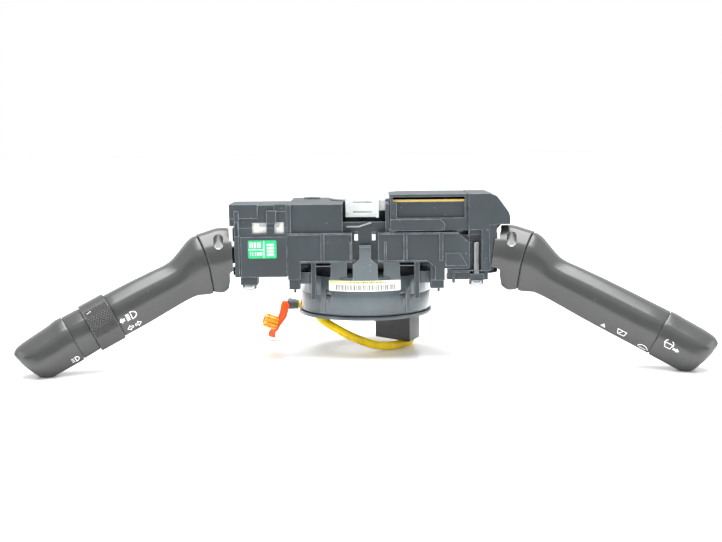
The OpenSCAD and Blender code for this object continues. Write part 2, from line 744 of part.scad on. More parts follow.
// Axis of the airbag plug's round head, on the hanging arm
module plug_head_frame() {
    translate([BOOT_IN[0] - 20.7, BOOT_IN[1] - 1.8, BOOT_IN[2] - 17]) rotate([0, 62, 0]) children();
}

// Airbag plug: an arm that hangs down and a round head
module squib_plug() {
    color("#f06a2a") difference() {
        union() {
            translate([BOOT_IN[0] - 8.1, BOOT_IN[1] - 1.8, BOOT_IN[2]]) {
                rotate([0, -90, 12]) cylinder(r = 4.2, h = 3);
                front_sheet([
                    [-4, 3.4], [0, 2.6], [0, -6], [-4.4, -17], [-8, -26], [-12.6, -30.6], [-16.6, -29.4],
                    [-15.4, -25], [-11, -20], [-8, -9]
                ], [-3.6, 3.6]);
            }
            plug_head_frame() cylinder(r = 3.4, h = 8.4, center = true);
        }
        plug_head_frame() tube(6, 3.4, [-3.7, 3.7]);
    }
}

// Amber lock ring on the plug's head
module squib_lock() {
    color("#ffb253") plug_head_frame() difference() {
        cylinder(r = 5.2, h = 7, center = true);
        cylinder(r = 3.4 + fit_gap, h = 8, center = true);
        for (a = [0:45:315])
            rotate([0, 0, a]) translate([5.4, 0, 0]) cylinder(r = 0.7, h = 8, center = true, $fn = 16);
    }
}

// Carrier that turns in the case end and holds the lever's tilt pin
module carrier_shape() {
    pivot_frame() difference() {
        union() {
            disc(carrier_r, [-carrier_half, carrier_half]);
            disc(trunnion_r, [-carrier_half - trunnion_len, carrier_half + trunnion_len]);
        }
        block([-carrier_r - 1, tongue_r + 0.8], [-tongue_half - 0.2, tongue_half + 0.2], [-tongue_room, tongue_room]);
        rotate([90, 0, 0]) cylinder(r = tilt_pin_r, h = 2 * carrier_r + 2, center = true);
        translate([tongue_r, 0, 0]) rotate([0, 90, 0]) cylinder(r = plunger_r, h = 10);
    }
}

module pin_shape() {
    pivot_frame() rotate([90, 0, 0]) cylinder(r = tilt_pin_r, h = 2 * carrier_r - 1, center = true);
}

module plunger_shape() {
    pivot_frame() {
        translate([tongue_r + 1.2, 0, 0]) rotate([0, 90, 0])
            cylinder(r = plunger_r, h = plunger_reach - tongue_r - 1.2 - plunger_r);
        translate([plunger_reach - plunger_r, 0, 0]) sphere(r = plunger_r);
    }
}

// Root of a lever: shaped block with an oval hole and the tongue on the tilt pin
module hub_shape() {
    up = -tan(lever_droop);
    seat = (hub_face - lever_reach) / cos(lever_droop);
    difference() {
        union() {
            difference() {
                lever_frame() lever_loft([
                    [seat - 6, 15.4, 13, -4.2, up], [seat, 17.6, 14.6, -3, up],
                    [-12, 20.2, 16, -1.6, -0.4], [-6, 19.8, 16.6, -0.8, -0.3],
                    [-1.2, 18.6, 16.6, 0, -0.2], [-0.7, 17.8, 16, 0, -0.2]
                ]);
                block([-pivot_x - hub_face, 0], [-90, 0], [-80, 20]);
            }
            pivot_frame() {
                block([-hub_face - 1.5, 0], [-tongue_half, tongue_half], [-tongue_r, tongue_r]);
                rotate([90, 0, 0]) cylinder(r = tongue_r, h = 2 * tongue_half, center = true);
            }
        }
        pivot_frame() rotate([90, 0, 0]) cylinder(r = tilt_pin_r + fit_gap, h = 20, center = true);
        // Oval hole, sloping down towards the back
        translate([-98.7, -50, -18.7]) rotate([90 + 23, 0, 0]) {
            for (s = [-1, 1])
                translate([0, s * 1.8, -40]) cylinder(r = 4, h = 80);
            block([-4, 4], [-1.8, 1.8], [-40, 40]);
        }
    }
}

// Lever body from the bell at the hub to the given end
module lever_body(end, end_half) {
    lever_loft([
        [-0.3, 17.9, 15.6, 0, -0.2], [0.2, 18.5, 16, 0, -0.2], [4, 18, 15.6, 0, -0.15],
        [9, 16, 14.4, -0.3, -0.1], [14, 14.4, 13.4, -0.6, 0], [20, 13.7, 13, -0.8, 0],
        [34, lever_half - 0.3, 13.2, -0.5, 0], [50, lever_half, 13.4, -0.2, 0],
        [end - 1, end_half, end_half - 1, 0, 0], [end, end_half - 0.7, end_half - 1.7, 0, 0]
    ]);
}

// Slanted rounded end that both levers share
module lever_tip(start, half) {
    l = knob_len;
    lever_loft([
        [start, half - 0.7, half - 1.2, 0, 0], [start + 0.8, half, half - 0.5, 0, 0],
        [start + l * 0.3, half + 0.2, half - 0.4, 0, 0], [start + l * 0.6, half + 0.2, half - 0.6, 0, 0.08],
        [start + l * 0.78, half - 0.2, half - 1.2, -0.1, 0.22], [start + l * 0.88, half - 1.2, half - 2.4, -0.2, 0.32],
        [start + l * 0.95, half - 3, half - 4.4, -0.3, 0.38], [start + l * 0.985, half - 5.4, half - 6.8, -0.3, 0.4],
        [start + l, half - 8.6, half - 9.6, -0.3, 0.4]
    ]);
}

module turn_carrier() { color(white) carrier_shape(); }
module turn_pin() { color("#9a9ea0") pin_shape(); }
module turn_plunger() { color(brass) plunger_shape(); }
module wiper_carrier() { color(white) right_side() carrier_shape(); }
module wiper_pin() { color("#9a9ea0") right_side() pin_shape(); }
module wiper_plunger() { color(brass) right_side() plunger_shape(); }
module lighting_hub() { color(dark) hub_shape(); }
module wiper_hub() { color(dark) right_side() hub_shape(); }

// Lighting lever with the tube that its ring turns on
module lighting_lever() {
    color(dark) lever_frame() difference() {
        union() {
            lever_body(ring_start - 0.3, lever_half);
            disc(spigot_r, [ring_start - 2, knob_start - 1]);
        }
        disc(rod_r + fit_gap, [ring_start - 22, knob_start + 1]);
    }
}

module fog_ring() {
    color(dark) lever_frame() difference() {
        union() {
            disc(ring_r, [ring_start + 0.8, collar_start - 0.8]);
            translate([0, 0, ring_start]) cylinder(r1 = ring_r - 0.8, r2 = ring_r, h = 0.8);
            translate([0, 0, collar_start - 0.8]) cylinder(r1 = ring_r, r2 = ring_r - 0.8, h = 0.8);
        }
        disc(spigot_r + fit_gap, [ring_start - 1, collar_start + 1]);
    }
}

module lever_collar() {
    color(dark) lever_frame() difference() {
        lever_loft([
            [collar_start + seat_gap, lever_half - 0.6, lever_half - 1, 0, 0],
            [collar_start + seat_gap + 0.8, lever_half + 0.2, lever_half - 0.2, 0, 0],
            [knob_start - 1, lever_half + 0.2, lever_half - 0.2, 0, 0],
            [knob_start - 0.2, lever_half - 0.6, lever_half - 1, 0, 0]
        ]);
        disc(spigot_r, [collar_start - 1, knob_start - 1]);
        disc(rod_r + 0.4, [knob_start - 2, knob_start + 1]);
    }
}

module light_knob() {
    color(dark) lever_frame() difference() {
        lever_tip(knob_start + knob_gap - 0.2, lever_half + 1.2);
        disc(rod_r, [knob_start - 2, knob_start + 14]);
    }
}

module light_rod() {
    color("#9a9ea0") lever_frame() disc(rod_r, [ring_start - 20, knob_start + 14]);
}

module wiper_lever() {
    color(dark) right_side() lever_frame() lever_body(knob_start, lever_half + 0.7);
}

module wiper_end_cap() {
    color(dark) right_side() lever_frame() lever_tip(knob_start + knob_gap, lever_half + 1.2);
}

switch_bracket();
column_bush();
bush_clip();
lighting_case();
lighting_base();
lighting_cover();
lighting_pins();
wiper_case();
wiper_base();
wiper_cover();
wiper_pins();
control_case();
control_lid();
control_board();
module_screws();
reel_case();
reel_cover();
reel_door();
reel_socket_pins();
ribbon_coil();
rotor();
rotor_sleeve();
connector_tower();
tower_pins();
cancel_sleeve();
airbag_lead();
lead_boot();
squib_plug();
squib_lock();
turn_carrier();
turn_pin();
turn_plunger();
lighting_hub();
lighting_lever();
lever_collar();
fog_ring();
light_knob();
light_rod();
wiper_carrier();
wiper_pin();
wiper_plunger();
wiper_hub();
wiper_lever();
wiper_end_cap();
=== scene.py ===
# Steering column combination switch with its clock spring, as it lies on a white table
import math

import bmesh
import bpy
from mathutils import Matrix, Vector
from mathutils.bvhtree import BVHTree


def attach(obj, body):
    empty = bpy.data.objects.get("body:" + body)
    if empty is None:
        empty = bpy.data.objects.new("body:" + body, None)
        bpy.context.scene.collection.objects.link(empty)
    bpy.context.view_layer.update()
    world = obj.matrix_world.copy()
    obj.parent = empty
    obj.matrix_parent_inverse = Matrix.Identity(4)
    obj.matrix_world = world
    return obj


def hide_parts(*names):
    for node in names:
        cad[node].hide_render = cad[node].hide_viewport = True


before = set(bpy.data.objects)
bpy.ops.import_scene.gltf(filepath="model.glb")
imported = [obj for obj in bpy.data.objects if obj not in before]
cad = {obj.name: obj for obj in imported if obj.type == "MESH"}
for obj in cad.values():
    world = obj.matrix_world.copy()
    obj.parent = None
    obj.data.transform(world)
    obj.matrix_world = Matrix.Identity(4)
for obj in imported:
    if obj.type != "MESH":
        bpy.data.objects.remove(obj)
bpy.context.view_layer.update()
MM = 0.001

# The camera stands 0.82 m in front of the column and a little above the unit.
# It looks down by about seven degrees, and the picture leans a touch to the left.
FOCAL_PX, PICTURE_PX = 1150, 722
camera_place = Vector((0, -822, 58.7)) * MM
looks_down = math.radians(7.088)
looks_left = math.atan(4.3 / FOCAL_PX)
leans = math.radians(0.6)
forward = Vector((-math.sin(looks_left) * math.cos(looks_down), math.cos(looks_left) * math.cos(looks_down),
                  -math.sin(looks_down)))
level = Vector((math.cos(looks_left), math.sin(looks_left), 0))
upward = level.cross(forward)
right = level * math.cos(leans) - upward * math.sin(leans)
up = upward * math.cos(leans) + level * math.sin(leans)
camera_data = bpy.data.cameras.new("camera")
camera_data.sensor_width = 36
camera_data.lens = camera_data.sensor_width * FOCAL_PX / PICTURE_PX
camera_data.clip_start = 0.05
camera_data.clip_end = 20
camera = bpy.data.objects.new("camera", camera_data)
camera.matrix_world = Matrix.Translation(camera_place) @ Matrix((right, up, -forward)).transposed().to_4x4()
bpy.context.scene.collection.objects.link(camera)
bpy.context.scene.camera = camera


def linear(colour):
    """An sRGB hex colour as the linear colour that the shaders take."""
    parts = [int(colour[i:i + 2], 16) / 255 for i in (1, 3, 5)]
    return [p / 12.92 if p <= 0.04045 else ((p + 0.055) / 1.055) ** 2.4 for p in parts] + [1]


def add(tree, kind, settings=(), **inputs):
    """Adds a shader node. Settings are the node's own, inputs are values or other nodes' outputs."""
    made = tree.nodes.new("ShaderNode" + kind)
    for name, value in dict(settings).items():
        setattr(made, name, value)
    for name, value in inputs.items():
        by_number = name[0] == "i" and name[1:].isdigit()
        socket = made.inputs[int(name[1:]) if by_number else name.replace("_", " ")]
        if isinstance(value, bpy.types.NodeSocket):
            tree.links.new(value, socket)
        else:
            socket.default_value = value
    return made


def start_material(name):
    """A new material with an empty node tree, and the object's own coordinates for its patterns."""
    mat = bpy.data.materials.new(name)
    mat.use_nodes = True
    mat.node_tree.nodes.clear()
    return mat, mat.node_tree, add(mat.node_tree, "TexCoord").outputs["Object"]


# The airbag lead: a soft vinyl sleeve over two wires, 6 mm thick, pushed over the wires at the rotor.
# It runs under the connector tower, round the reel and up to the plug's boot.
LEAD_ROUTE = [
    (-33, -18, -71.1), (-32.4, -19.5, -73.4), (-28.5, -23, -76.4), (-21, -25.5, -80.6), (-13, -25, -85.2),
    (-5, -22, -89.6), (4, -17, -93.8), (13, -11, -96.3), (21, -5, -96.9), (28, 3, -96.9),
    (32, 12, -96.9), (33, 22, -96.4), (30, 32, -95), (24, 40, -92), (15, 46, -88),
    (4, 49, -84.6), (-8, 50, -81.6), (-20, 49, -79), (-31, 46, -76.6), (-40, 42.5, -74.6),
    (-46, 40, -73.6), (-51.6, 38.5, -73.2)]
LEAD_THICK = 6.0


def smooth_route(points, steps):
    """More points on the same smooth curve through the route."""
    p = [Vector(q) * MM for q in points]
    out = []
    for i in range(len(p) - 1):
        a, b, c, d = p[max(i - 1, 0)], p[i], p[i + 1], p[min(i + 2, len(p) - 1)]
        for k in range(steps):
            t = k / steps
            out.append(0.5 * (2 * b + (c - a) * t + (2 * a - 5 * b + 4 * c - d) * t * t
                              + (3 * b - a - 3 * c + d) * t ** 3))
    return out + [p[-1]]


def lead_vinyl():
    """Soft PVC sleeve, extruded: an even satin yellow with faint dirt and a soft highlight along it."""
    mat, tree, place = start_material("soft_pvc_sleeve")
    grime = add(tree, "TexNoise", Vector=place, Scale=90.0, Detail=5.0, Roughness=0.6)
    shade = add(tree, "ValToRGB", Fac=grime.outputs["Fac"])
    shade.color_ramp.elements[0].position = 0.3
    shade.color_ramp.elements[0].color = linear("#c8a600")
    shade.color_ramp.elements[1].position = 0.62
    shade.color_ramp.elements[1].color = linear("#f4d200")
    ripple = add(tree, "TexNoise", Vector=place, Scale=260.0, Detail=3.0)
    bump = add(tree, "Bump", Height=ripple.outputs["Fac"], Strength=0.18, Distance=0.0004)
    gloss = add(tree, "BsdfPrincipled", Base_Color=shade.outputs["Color"], Normal=bump.outputs["Normal"],
                Roughness=0.45, IOR=1.4)
    gloss.inputs["Subsurface Weight"].default_value = 0.02
    gloss.inputs["Subsurface Radius"].default_value = (0.003, 0.002, 0.0006)
    add(tree, "OutputMaterial", Surface=gloss.outputs["BSDF"])
    return mat


lead_points = smooth_route(LEAD_ROUTE, 4)
lead_curve = bpy.data.curves.new("lead_sleeve", "CURVE")
lead_curve.dimensions = "3D"
lead_curve.bevel_depth = LEAD_THICK / 2 * MM
lead_curve.bevel_resolution = 5
lead_curve.use_fill_caps = True
lead_spline = lead_curve.splines.new("POLY")
lead_spline.points.add(len(lead_points) - 1)
for place, point in zip(lead_spline.points, lead_points):
    place.co = (*point, 1)
lead_curve.materials.append(lead_vinyl())
lead = bpy.data.objects.new("lead_sleeve", lead_curve)
bpy.context.scene.collection.objects.link(lead)
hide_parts("airbag_lead")
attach(lead, "reel_rotor")


# The main mouldings: glass-filled nylon, injection moulded, in charcoal with a fine spark-eroded grain.
# They are a used part's: dust lies in specks. Their edges are painted paler, partly wear and partly a painted highlight
# along each edge.
def moulded_plastic(name, colour, worn, roughness=0.46, grain_mm=0.45, specks=0.5, drift_by=0.17):
    """Moulded polymer: even colour with slow drift, fine grain in the bump, light dust, and edges painted paler as
    partly wear and partly a painted highlight.
    """
    mat, tree, place = start_material(name)
    drift = add(tree, "TexNoise", Vector=place, Scale=28.0, Detail=4.0, Roughness=0.55)
    tone = add(tree, "MapRange", {"interpolation_type": "SMOOTHSTEP"}, Value=drift.outputs["Fac"], From_Min=0.3,
               From_Max=0.7, To_Min=1 - drift_by, To_Max=1 + drift_by)
    base = add(tree, "VectorMath", {"operation": "SCALE"}, i0=linear(colour)[:3], Scale=tone.outputs["Result"])
    rounded = add(tree, "Bevel", {"samples": 4}, Radius=0.0006)
    geometry = add(tree, "NewGeometry")
    bend = add(tree, "VectorMath", {"operation": "DOT_PRODUCT"}, i0=rounded.outputs["Normal"],
               i1=geometry.outputs["Normal"])
    edge = add(tree, "MapRange", Value=bend.outputs["Value"], From_Min=0.995, From_Max=0.8, To_Min=0.0, To_Max=1.0)
    patchy = add(tree, "TexNoise", Vector=place, Scale=160.0, Detail=3.0)
    kept = add(tree, "MapRange", Value=patchy.outputs["Fac"], From_Min=0.35, From_Max=0.65, To_Min=0.35, To_Max=1.0)
    # The edge mask, broken in patches, mixes in the paler second colour: a painted highlight along every edge, partly
    # wear.
    edge_highlight_and_wear_mask = add(tree, "Math", {"operation": "MULTIPLY", "use_clamp": True}, i0=edge.outputs["Result"],
                 i1=kept.outputs["Result"])
    with_painted_edge_highlight = add(tree, "Mix", {"data_type": "RGBA"}, i0=edge_highlight_and_wear_mask.outputs["Value"], i6=base.outputs["Vector"],
                i7=linear(worn))
    speck = add(tree, "TexVoronoi", {"feature": "F1"}, Vector=place, Scale=300.0, Randomness=1.0)
    near = add(tree, "MapRange", Value=speck.outputs["Distance"], From_Min=0.16, From_Max=0.06, To_Min=0.0, To_Max=1.0)
    cloud = add(tree, "TexNoise", Vector=place, Scale=45.0, Detail=2.0)
    where = add(tree, "MapRange", Value=cloud.outputs["Fac"], From_Min=0.56, From_Max=0.68, To_Min=0.0, To_Max=specks)
    dust = add(tree, "Math", {"operation": "MULTIPLY"}, i0=near.outputs["Result"], i1=where.outputs["Result"])
    dusty = add(tree, "Mix", {"data_type": "RGBA"}, i0=dust.outputs["Value"], i6=with_painted_edge_highlight.outputs[2],
                i7=linear("#a9aca8"))
    grain = add(tree, "TexNoise", Vector=place, Scale=1000 / grain_mm, Detail=2.0)
    bump = add(tree, "Bump", Height=grain.outputs["Fac"], Strength=0.35, Distance=0.00006)
    sheen = add(tree, "MapRange", {"interpolation_type": "SMOOTHSTEP"}, Value=cloud.outputs["Fac"], From_Min=0.3,
                From_Max=0.7, To_Min=roughness - 0.2 * drift_by, To_Max=roughness + 0.2 * drift_by)
    shader = add(tree, "BsdfPrincipled", Base_Color=dusty.outputs[2], Normal=bump.outputs["Normal"],
                 Roughness=sheen.outputs["Result"], IOR=1.5)
    add(tree, "OutputMaterial", Surface=shader.outputs["BSDF"])
    return mat


def finish_moulding(name, material, edge_mm=0.4, corner=0.55):
    """Gives a packed moulding its material and the small radius that a mould leaves on its edges."""
    piece = cad[name]
    piece.data.materials.clear()
    piece.data.materials.append(material)
    weld = piece.modifiers.new("merged", "WELD")
    weld.merge_threshold = 0.000002
    flat = piece.modifiers.new("flat faces", "DECIMATE")
    flat.decimate_type = "DISSOLVE"
    flat.angle_limit = math.radians(1)
    edge = piece.modifiers.new("mould radius", "BEVEL")
    edge.width = edge_mm * MM
    edge.segments = 2
    edge.limit_method = "ANGLE"
    edge.angle_limit = corner
    edge.harden_normals = True


# The second colour of each moulding is the paler one painted on its edges: partly wear, partly a painted highlight.
body_nylon = moulded_plastic("charcoal_glass_filled_nylon", "#2b3338", "#a2aab0")
inner_nylon = moulded_plastic("black_glass_filled_nylon", "#2a2e31", "#5b6063", roughness=0.42)
lever_abs = moulded_plastic("soft_grained_abs", "#3a3b3b", "#6a6b6b", roughness=0.26, grain_mm=0.6, specks=0.15,
                            drift_by=0.015)
reel_pbt = moulded_plastic("grey_polyester_reel_shell", "#50595e", "#a6adb1", roughness=0.12, grain_mm=0.35)
for part in ("switch_bracket", "lighting_case", "wiper_case", "control_case", "control_lid"):
    finish_moulding(part, body_nylon)
for part in ("reel_case", "reel_cover", "reel_door", "rotor", "rotor_sleeve"):
    finish_moulding(part, reel_pbt)
for part in ("lighting_cover", "wiper_cover", "connector_tower"):
    finish_moulding(part, inner_nylon)
grey_pom = moulded_plastic("light_grey_acetal", "#c3c9c8", "#e4e7e6", roughness=0.38, specks=0.2)
grey_shade = moulded_plastic("mid_grey_acetal", "#8d9194", "#b5b8ba", roughness=0.42, specks=0.1)
white_nylon = moulded_plastic("natural_white_nylon", "#e9e9e4", "#ffffff", roughness=0.4, specks=0.1)
for part in ("column_bush", "bush_clip"):
    finish_moulding(part, grey_pom)
for part in ("lighting_base", "wiper_base", "cancel_sleeve", "turn_carrier", "wiper_carrier"):
    finish_moulding(part, white_nylon)


# The levers: soft-grained ABS, moulded in halves round a core, with a flat form line along the front.
# Each has a root that the lever plugs into, and the seam between root and bell shows as a dark gap.
LEVER_PIVOT, TILT_PIN = (-77, -38.5, -32.8), (-77, -38.5, -26)
LEVER_SWEEP, LEVER_DROOP, LEVER_REACH = 19.2, 26.1, 33.9
LEVER_FLATS = ((1, 0, 1), (0.8, 0.6, 1), (0.2, 0.98, 1), (-0.552, 0.834, 0.9), (-1, 0, 1))
FLAT_POWER = 18
left_lever = (Matrix.Translation(Vector(LEVER_PIVOT) * MM) @ Matrix.Rotation(math.radians(LEVER_SWEEP), 4, "Z")
              @ Matrix.Translation(Vector((-LEVER_REACH, 0, 0)) * MM)
              @ Matrix.Rotation(math.radians(-90 - LEVER_DROOP), 4, "Y"))
right_lever = Matrix.Scale(-1, 4, (1, 0, 0)) @ left_lever


def placed(name, shape):
    """Turns a bmesh into an object of the scene and frees it."""
    data = bpy.data.meshes.new(name)
    shape.to_mesh(data)
    shape.free()
    thing = bpy.data.objects.new(name, data)
    bpy.context.scene.collection.objects.link(thing)
    return thing


def new_piece(name, shape, material, body, sharp=28):
    """Puts a finished bmesh into the scene: outward faces, smooth but for its sharp edges."""
    bmesh.ops.recalc_face_normals(shape, faces=shape.faces)
    for face in shape.faces:
        face.smooth = True
    for edge in shape.edges:
        edge.smooth = edge.calc_face_angle(0) < math.radians(sharp)
    piece = placed(name, shape)
    piece.data.materials.append(material)
    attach(piece, body)
    return piece


def lever_reach(angle):
    """How far the lever's skin lies from its axis at an angle from straight up."""
    pull = sum(max(0, (up_ * math.cos(angle) + out * abs(math.sin(angle))) / far) ** FLAT_POWER
               for up_, out, far in LEVER_FLATS)
    return pull ** (-1 / FLAT_POWER)


def eased(rows, gap=2.2, steps=4):
    """Adds rings on a smooth curve between rings that are far apart."""
    out = []
    for i in range(len(rows) - 1):
        a, b, c, d = rows[max(i - 1, 0)], rows[i], rows[i + 1], rows[min(i + 2, len(rows) - 1)]
        out.append(b)
        if c[0] - b[0] < gap:
            continue
        for k in range(1, steps):
            t = k / steps
            before = (c[0] - b[0]) / max(b[0] - a[0], 1e-6) if b[0] - a[0] > gap else 0
            after = (c[0] - b[0]) / max(d[0] - c[0], 1e-6) if d[0] - c[0] > gap else 0
            m0 = [0.5 * ((q - p) + (p - o) * before) if before else q - p for o, p, q in zip(a, b, c)]
            m1 = [0.5 * ((q - p) + (r - q) * after) if after else q - p for p, q, r in zip(b, c, d)]
            h = (2 * t ** 3 - 3 * t * t + 1, t ** 3 - 2 * t * t + t, -2 * t ** 3 + 3 * t * t, t ** 3 - t * t)
            out.append(tuple(h[0] * p + h[1] * m + h[2] * q + h[3] * n for p, m, q, n in zip(b, m0, c, m1)))
            out[-1] = (b[0] + (c[0] - b[0]) * t,) + out[-1][1:]
    return out + [rows[-1]]


def ringed(count, sides):
    """A stack of unit rings, one above the other, joined and closed at both ends."""
    shape = bmesh.new()
    bmesh.ops.create_circle(shape, cap_ends=False, radius=1, segments=sides)
    rim = list(shape.edges)
    for _ in range(1, count):
        drawn = bmesh.ops.extrude_edge_only(shape, edges=rim)["geom"]
        rim = [g for g in drawn if isinstance(g, bmesh.types.BMEdge)]
        bmesh.ops.translate(shape, verts=[g for g in drawn if isinstance(g, bmesh.types.BMVert)], vec=(0, 0, 1))
    bmesh.ops.holes_fill(shape, edges=[e for e in shape.edges if e.is_boundary], sides=0)
    return shape


def lever_shape(rows, place):
    """A loft along the lever. Each ring has its place, half height, half depth, shift up and lean."""
    shape = ringed(len(rows), 96)
    for vert in shape.verts:
        along, tall, deep, shift, lean = rows[round(vert.co.z)]
        angle = math.atan2(vert.co.y, vert.co.x)
        reach = lever_reach(angle)
        x = tall * reach * math.cos(angle) + shift
        vert.co = Vector((x, deep * reach * math.sin(angle), along + lean * x)) * MM
    bmesh.ops.transform(shape, matrix=place, verts=shape.verts)
    return shape


BELL_ROWS = [(-0.68, 16.6, 14.2, 0.8, -0.2), (-0.32, 16.6, 14.2, 0.8, -0.2), (-0.3, 19.1, 15.9, 1.2, -0.2),
             (0.2, 19.7, 16.3, 1.2, -0.2), (1.6, 19.8, 16.3, 1.25, -0.18), (4, 19.3, 15.9, 1.3, -0.15),
             (9, 17.2, 14.8, 0.9, -0.1), (14, 15.1, 13.6, 0.1, 0), (20, 14.0, 13.1, -0.5, 0),
             (34, 14.3, 13.3, -0.4, 0), (50, 14.9, 13.6, -0.3, 0)]
left_rows = BELL_ROWS + [(67.3, 15.0, 13.9, -0.2, 0), (67.8, 14.9, 13.8, -0.2, 0), (68.05, 14.6, 13.5, -0.2, 0),
                         (68.06, 14.1, 13.0, 0, 0), (68.18, 14.1, 13.0, 0, 0)]
right_rows = BELL_ROWS + [(97.7, 15.3, 14.3, 0, 0), (98.1, 15.2, 14.2, 0, 0), (98.35, 14.9, 13.9, 0, 0),
                          (98.36, 14.4, 13.4, 0, 0), (98.58, 14.4, 13.4, 0, 0)]
TIP_LENGTH, TIP_HALF = 33, 15.6


def tip_rows(start, droop, slant):
    """Rings of the slanted, rounded end of a lever: how far its nose hangs, and how much the end leans."""
    length, half = TIP_LENGTH + 2.2 * droop, TIP_HALF
    rows = [(0, 0.5, 1.0, 0, 0), (0.0076, 0.15, 0.65, 0, 0), (0.021, 0, 0.5, 0, 0),
            (0.12, -0.1, 0.4, 0, 0), (0.3, -0.1 + droop * 0.55, 0.4, -droop * 0.55, 0),
            (0.6, -0.1 + droop * 1.1, 0.6, -droop * 1.1, 0.08),
            (0.78, 0.2 + droop * 1.2, 1.2, -0.1 - droop * 1.5, 0.22),
            (0.88, 1.2 + droop * 0.9, 2.4, -0.2 - droop * 1.8, 0.32),
            (0.95, 3 + droop * 0.6, 4.4, -0.3 - droop * 2.1, 0.38),
            (0.985, 5.4 + droop * 0.4, 6.8, -0.3 - droop * 2.3, 0.4), (1, 8.6, 9.6, -0.3 - droop * 2.4, 0.4),
            (1.004, 12, 12.6, -0.3 - droop * 2.4, 0.4)]
    return [(start + length * share, half - tall, half - deep, shift, lean * slant)
            for share, tall, deep, shift, lean in rows]


collar_rows = [(86.22, 14.2, 13.7, 0.1, 0), (86.36, 14.2, 13.7, 0.1, 0), (86.38, 14.6, 14.0, 0.2, 0),
               (86.6, 14.9, 14.3, 0.2, 0), (97.7, 15.2, 14.6, 0.1, 0), (98.0, 15.1, 14.5, 0.1, 0),
               (98.16, 14.9, 14.3, 0.1, 0), (98.17, 14.4, 13.8, 0.1, 0), (98.38, 14.4, 13.8, 0.1, 0)]
lighting_skin = new_piece("lighting_lever_skin", lever_shape(eased(left_rows), left_lever), lever_abs,
                          "lighting_arm")
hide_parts("lighting_lever")
wiper_skin = new_piece("wiper_lever_skin", lever_shape(eased(right_rows), right_lever), lever_abs,
                       "wiper_arm")
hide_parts("wiper_lever")
knob_skin = new_piece("light_knob_skin", lever_shape(eased(tip_rows(98.4, 1.0, 1.0)), left_lever), lever_abs,
                      "light_switch_knob")
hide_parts("light_knob")
cap_skin = new_piece("wiper_cap_skin", lever_shape(eased(tip_rows(98.6, 0.35, 0.75)), right_lever), lever_abs,
                     "wiper_arm")
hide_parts("wiper_end_cap")
collar_skin = new_piece("lever_collar_skin", lever_shape(collar_rows, left_lever), lever_abs, "lighting_arm")
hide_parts("lever_collar")


# The fog lamp ring turns between lever and collar. Its front has a fine moulded diamond knurl, left out on the
# lower facet, and both rims are rounded. The real pitch of about 1.2 mm is drawn at 1.9 mm, so that it shows.
KNURL_PITCH, RING_MEAN_RADIUS = 0.0019, 0.0155


def knurled_abs():
    """The levers' ABS with the knurl cut into the mould: diamonds in the bump, and painted shade darkening the grooves
    between them.
    """
    mat = lever_abs.copy()
    mat.name = "knurled_soft_grained_abs"
    tree = mat.node_tree
    place = add(tree, "TexCoord").outputs["Object"]
    pose = left_lever.inverted()
    turned = add(tree, "Mapping", {"vector_type": "POINT"}, Vector=place, Rotation=pose.to_euler("XYZ"),
                 Location=pose.translation)
    split = add(tree, "SeparateXYZ", Vector=turned.outputs["Vector"])
    around = add(tree, "Math", {"operation": "ARCTAN2"}, i0=split.outputs["Y"], i1=split.outputs["X"])
    arc = add(tree, "Math", {"operation": "MULTIPLY"}, i0=around.outputs["Value"], i1=RING_MEAN_RADIUS)
    waves = []
    for sign in (1, -1):
        lean = add(tree, "Math", {"operation": "MULTIPLY_ADD"}, i0=arc.outputs["Value"], i1=sign * 0.8,
                   i2=split.outputs["Z"])
        phase = add(tree, "Math", {"operation": "MULTIPLY"}, i0=lean.outputs["Value"], i1=2 * math.pi / KNURL_PITCH)
        waves.append(add(tree, "Math", {"operation": "SINE"}, i0=phase.outputs["Value"]).outputs["Value"])
    peak = add(tree, "Math", {"operation": "MINIMUM"}, i0=waves[0], i1=waves[1])
    back = add(tree, "MapRange", Value=around.outputs["Value"], From_Min=-1.98, From_Max=-1.9, To_Min=0.0, To_Max=1.0)
    low = add(tree, "MapRange", Value=around.outputs["Value"], From_Min=-0.62, From_Max=-0.7, To_Min=0.0, To_Max=1.0)
    near_end = add(tree, "MapRange", Value=split.outputs["Z"], From_Min=0.0692, From_Max=0.0697, To_Min=0.0, To_Max=1.0)
    far_end = add(tree, "MapRange", Value=split.outputs["Z"], From_Min=0.0852, From_Max=0.0847, To_Min=0.0, To_Max=1.0)
    mask = add(tree, "Math", {"operation": "MULTIPLY"}, i0=back.outputs["Result"], i1=low.outputs["Result"])
    ends = add(tree, "Math", {"operation": "MULTIPLY"}, i0=near_end.outputs["Result"], i1=far_end.outputs["Result"])
    field = add(tree, "Math", {"operation": "MULTIPLY"}, i0=mask.outputs["Value"], i1=ends.outputs["Value"])
    cut = add(tree, "Math", {"operation": "MULTIPLY"}, i0=peak.outputs["Value"], i1=field.outputs["Value"])
    shader = next(n for n in tree.nodes if n.type == "BSDF_PRINCIPLED")
    grain = shader.inputs["Normal"].links[0].from_socket
    bump = add(tree, "Bump", Height=cut.outputs["Value"], Normal=grain, Strength=1.0, Distance=0.0004)
    tree.links.new(bump.outputs["Normal"], shader.inputs["Normal"])
    base = shader.inputs["Base Color"].links[0].from_socket
    # Painted shade: the base colour is darkened down to about a third in the knurl's grooves.
    groove_painted_shade = add(tree, "MapRange", Value=cut.outputs["Value"], From_Min=-1.0, From_Max=0.4, To_Min=0.35, To_Max=1.0)
    dull = add(tree, "VectorMath", {"operation": "SCALE"}, i0=base, Scale=groove_painted_shade.outputs["Result"])
    tree.links.new(dull.outputs["Vector"], shader.inputs["Base Color"])
    return mat


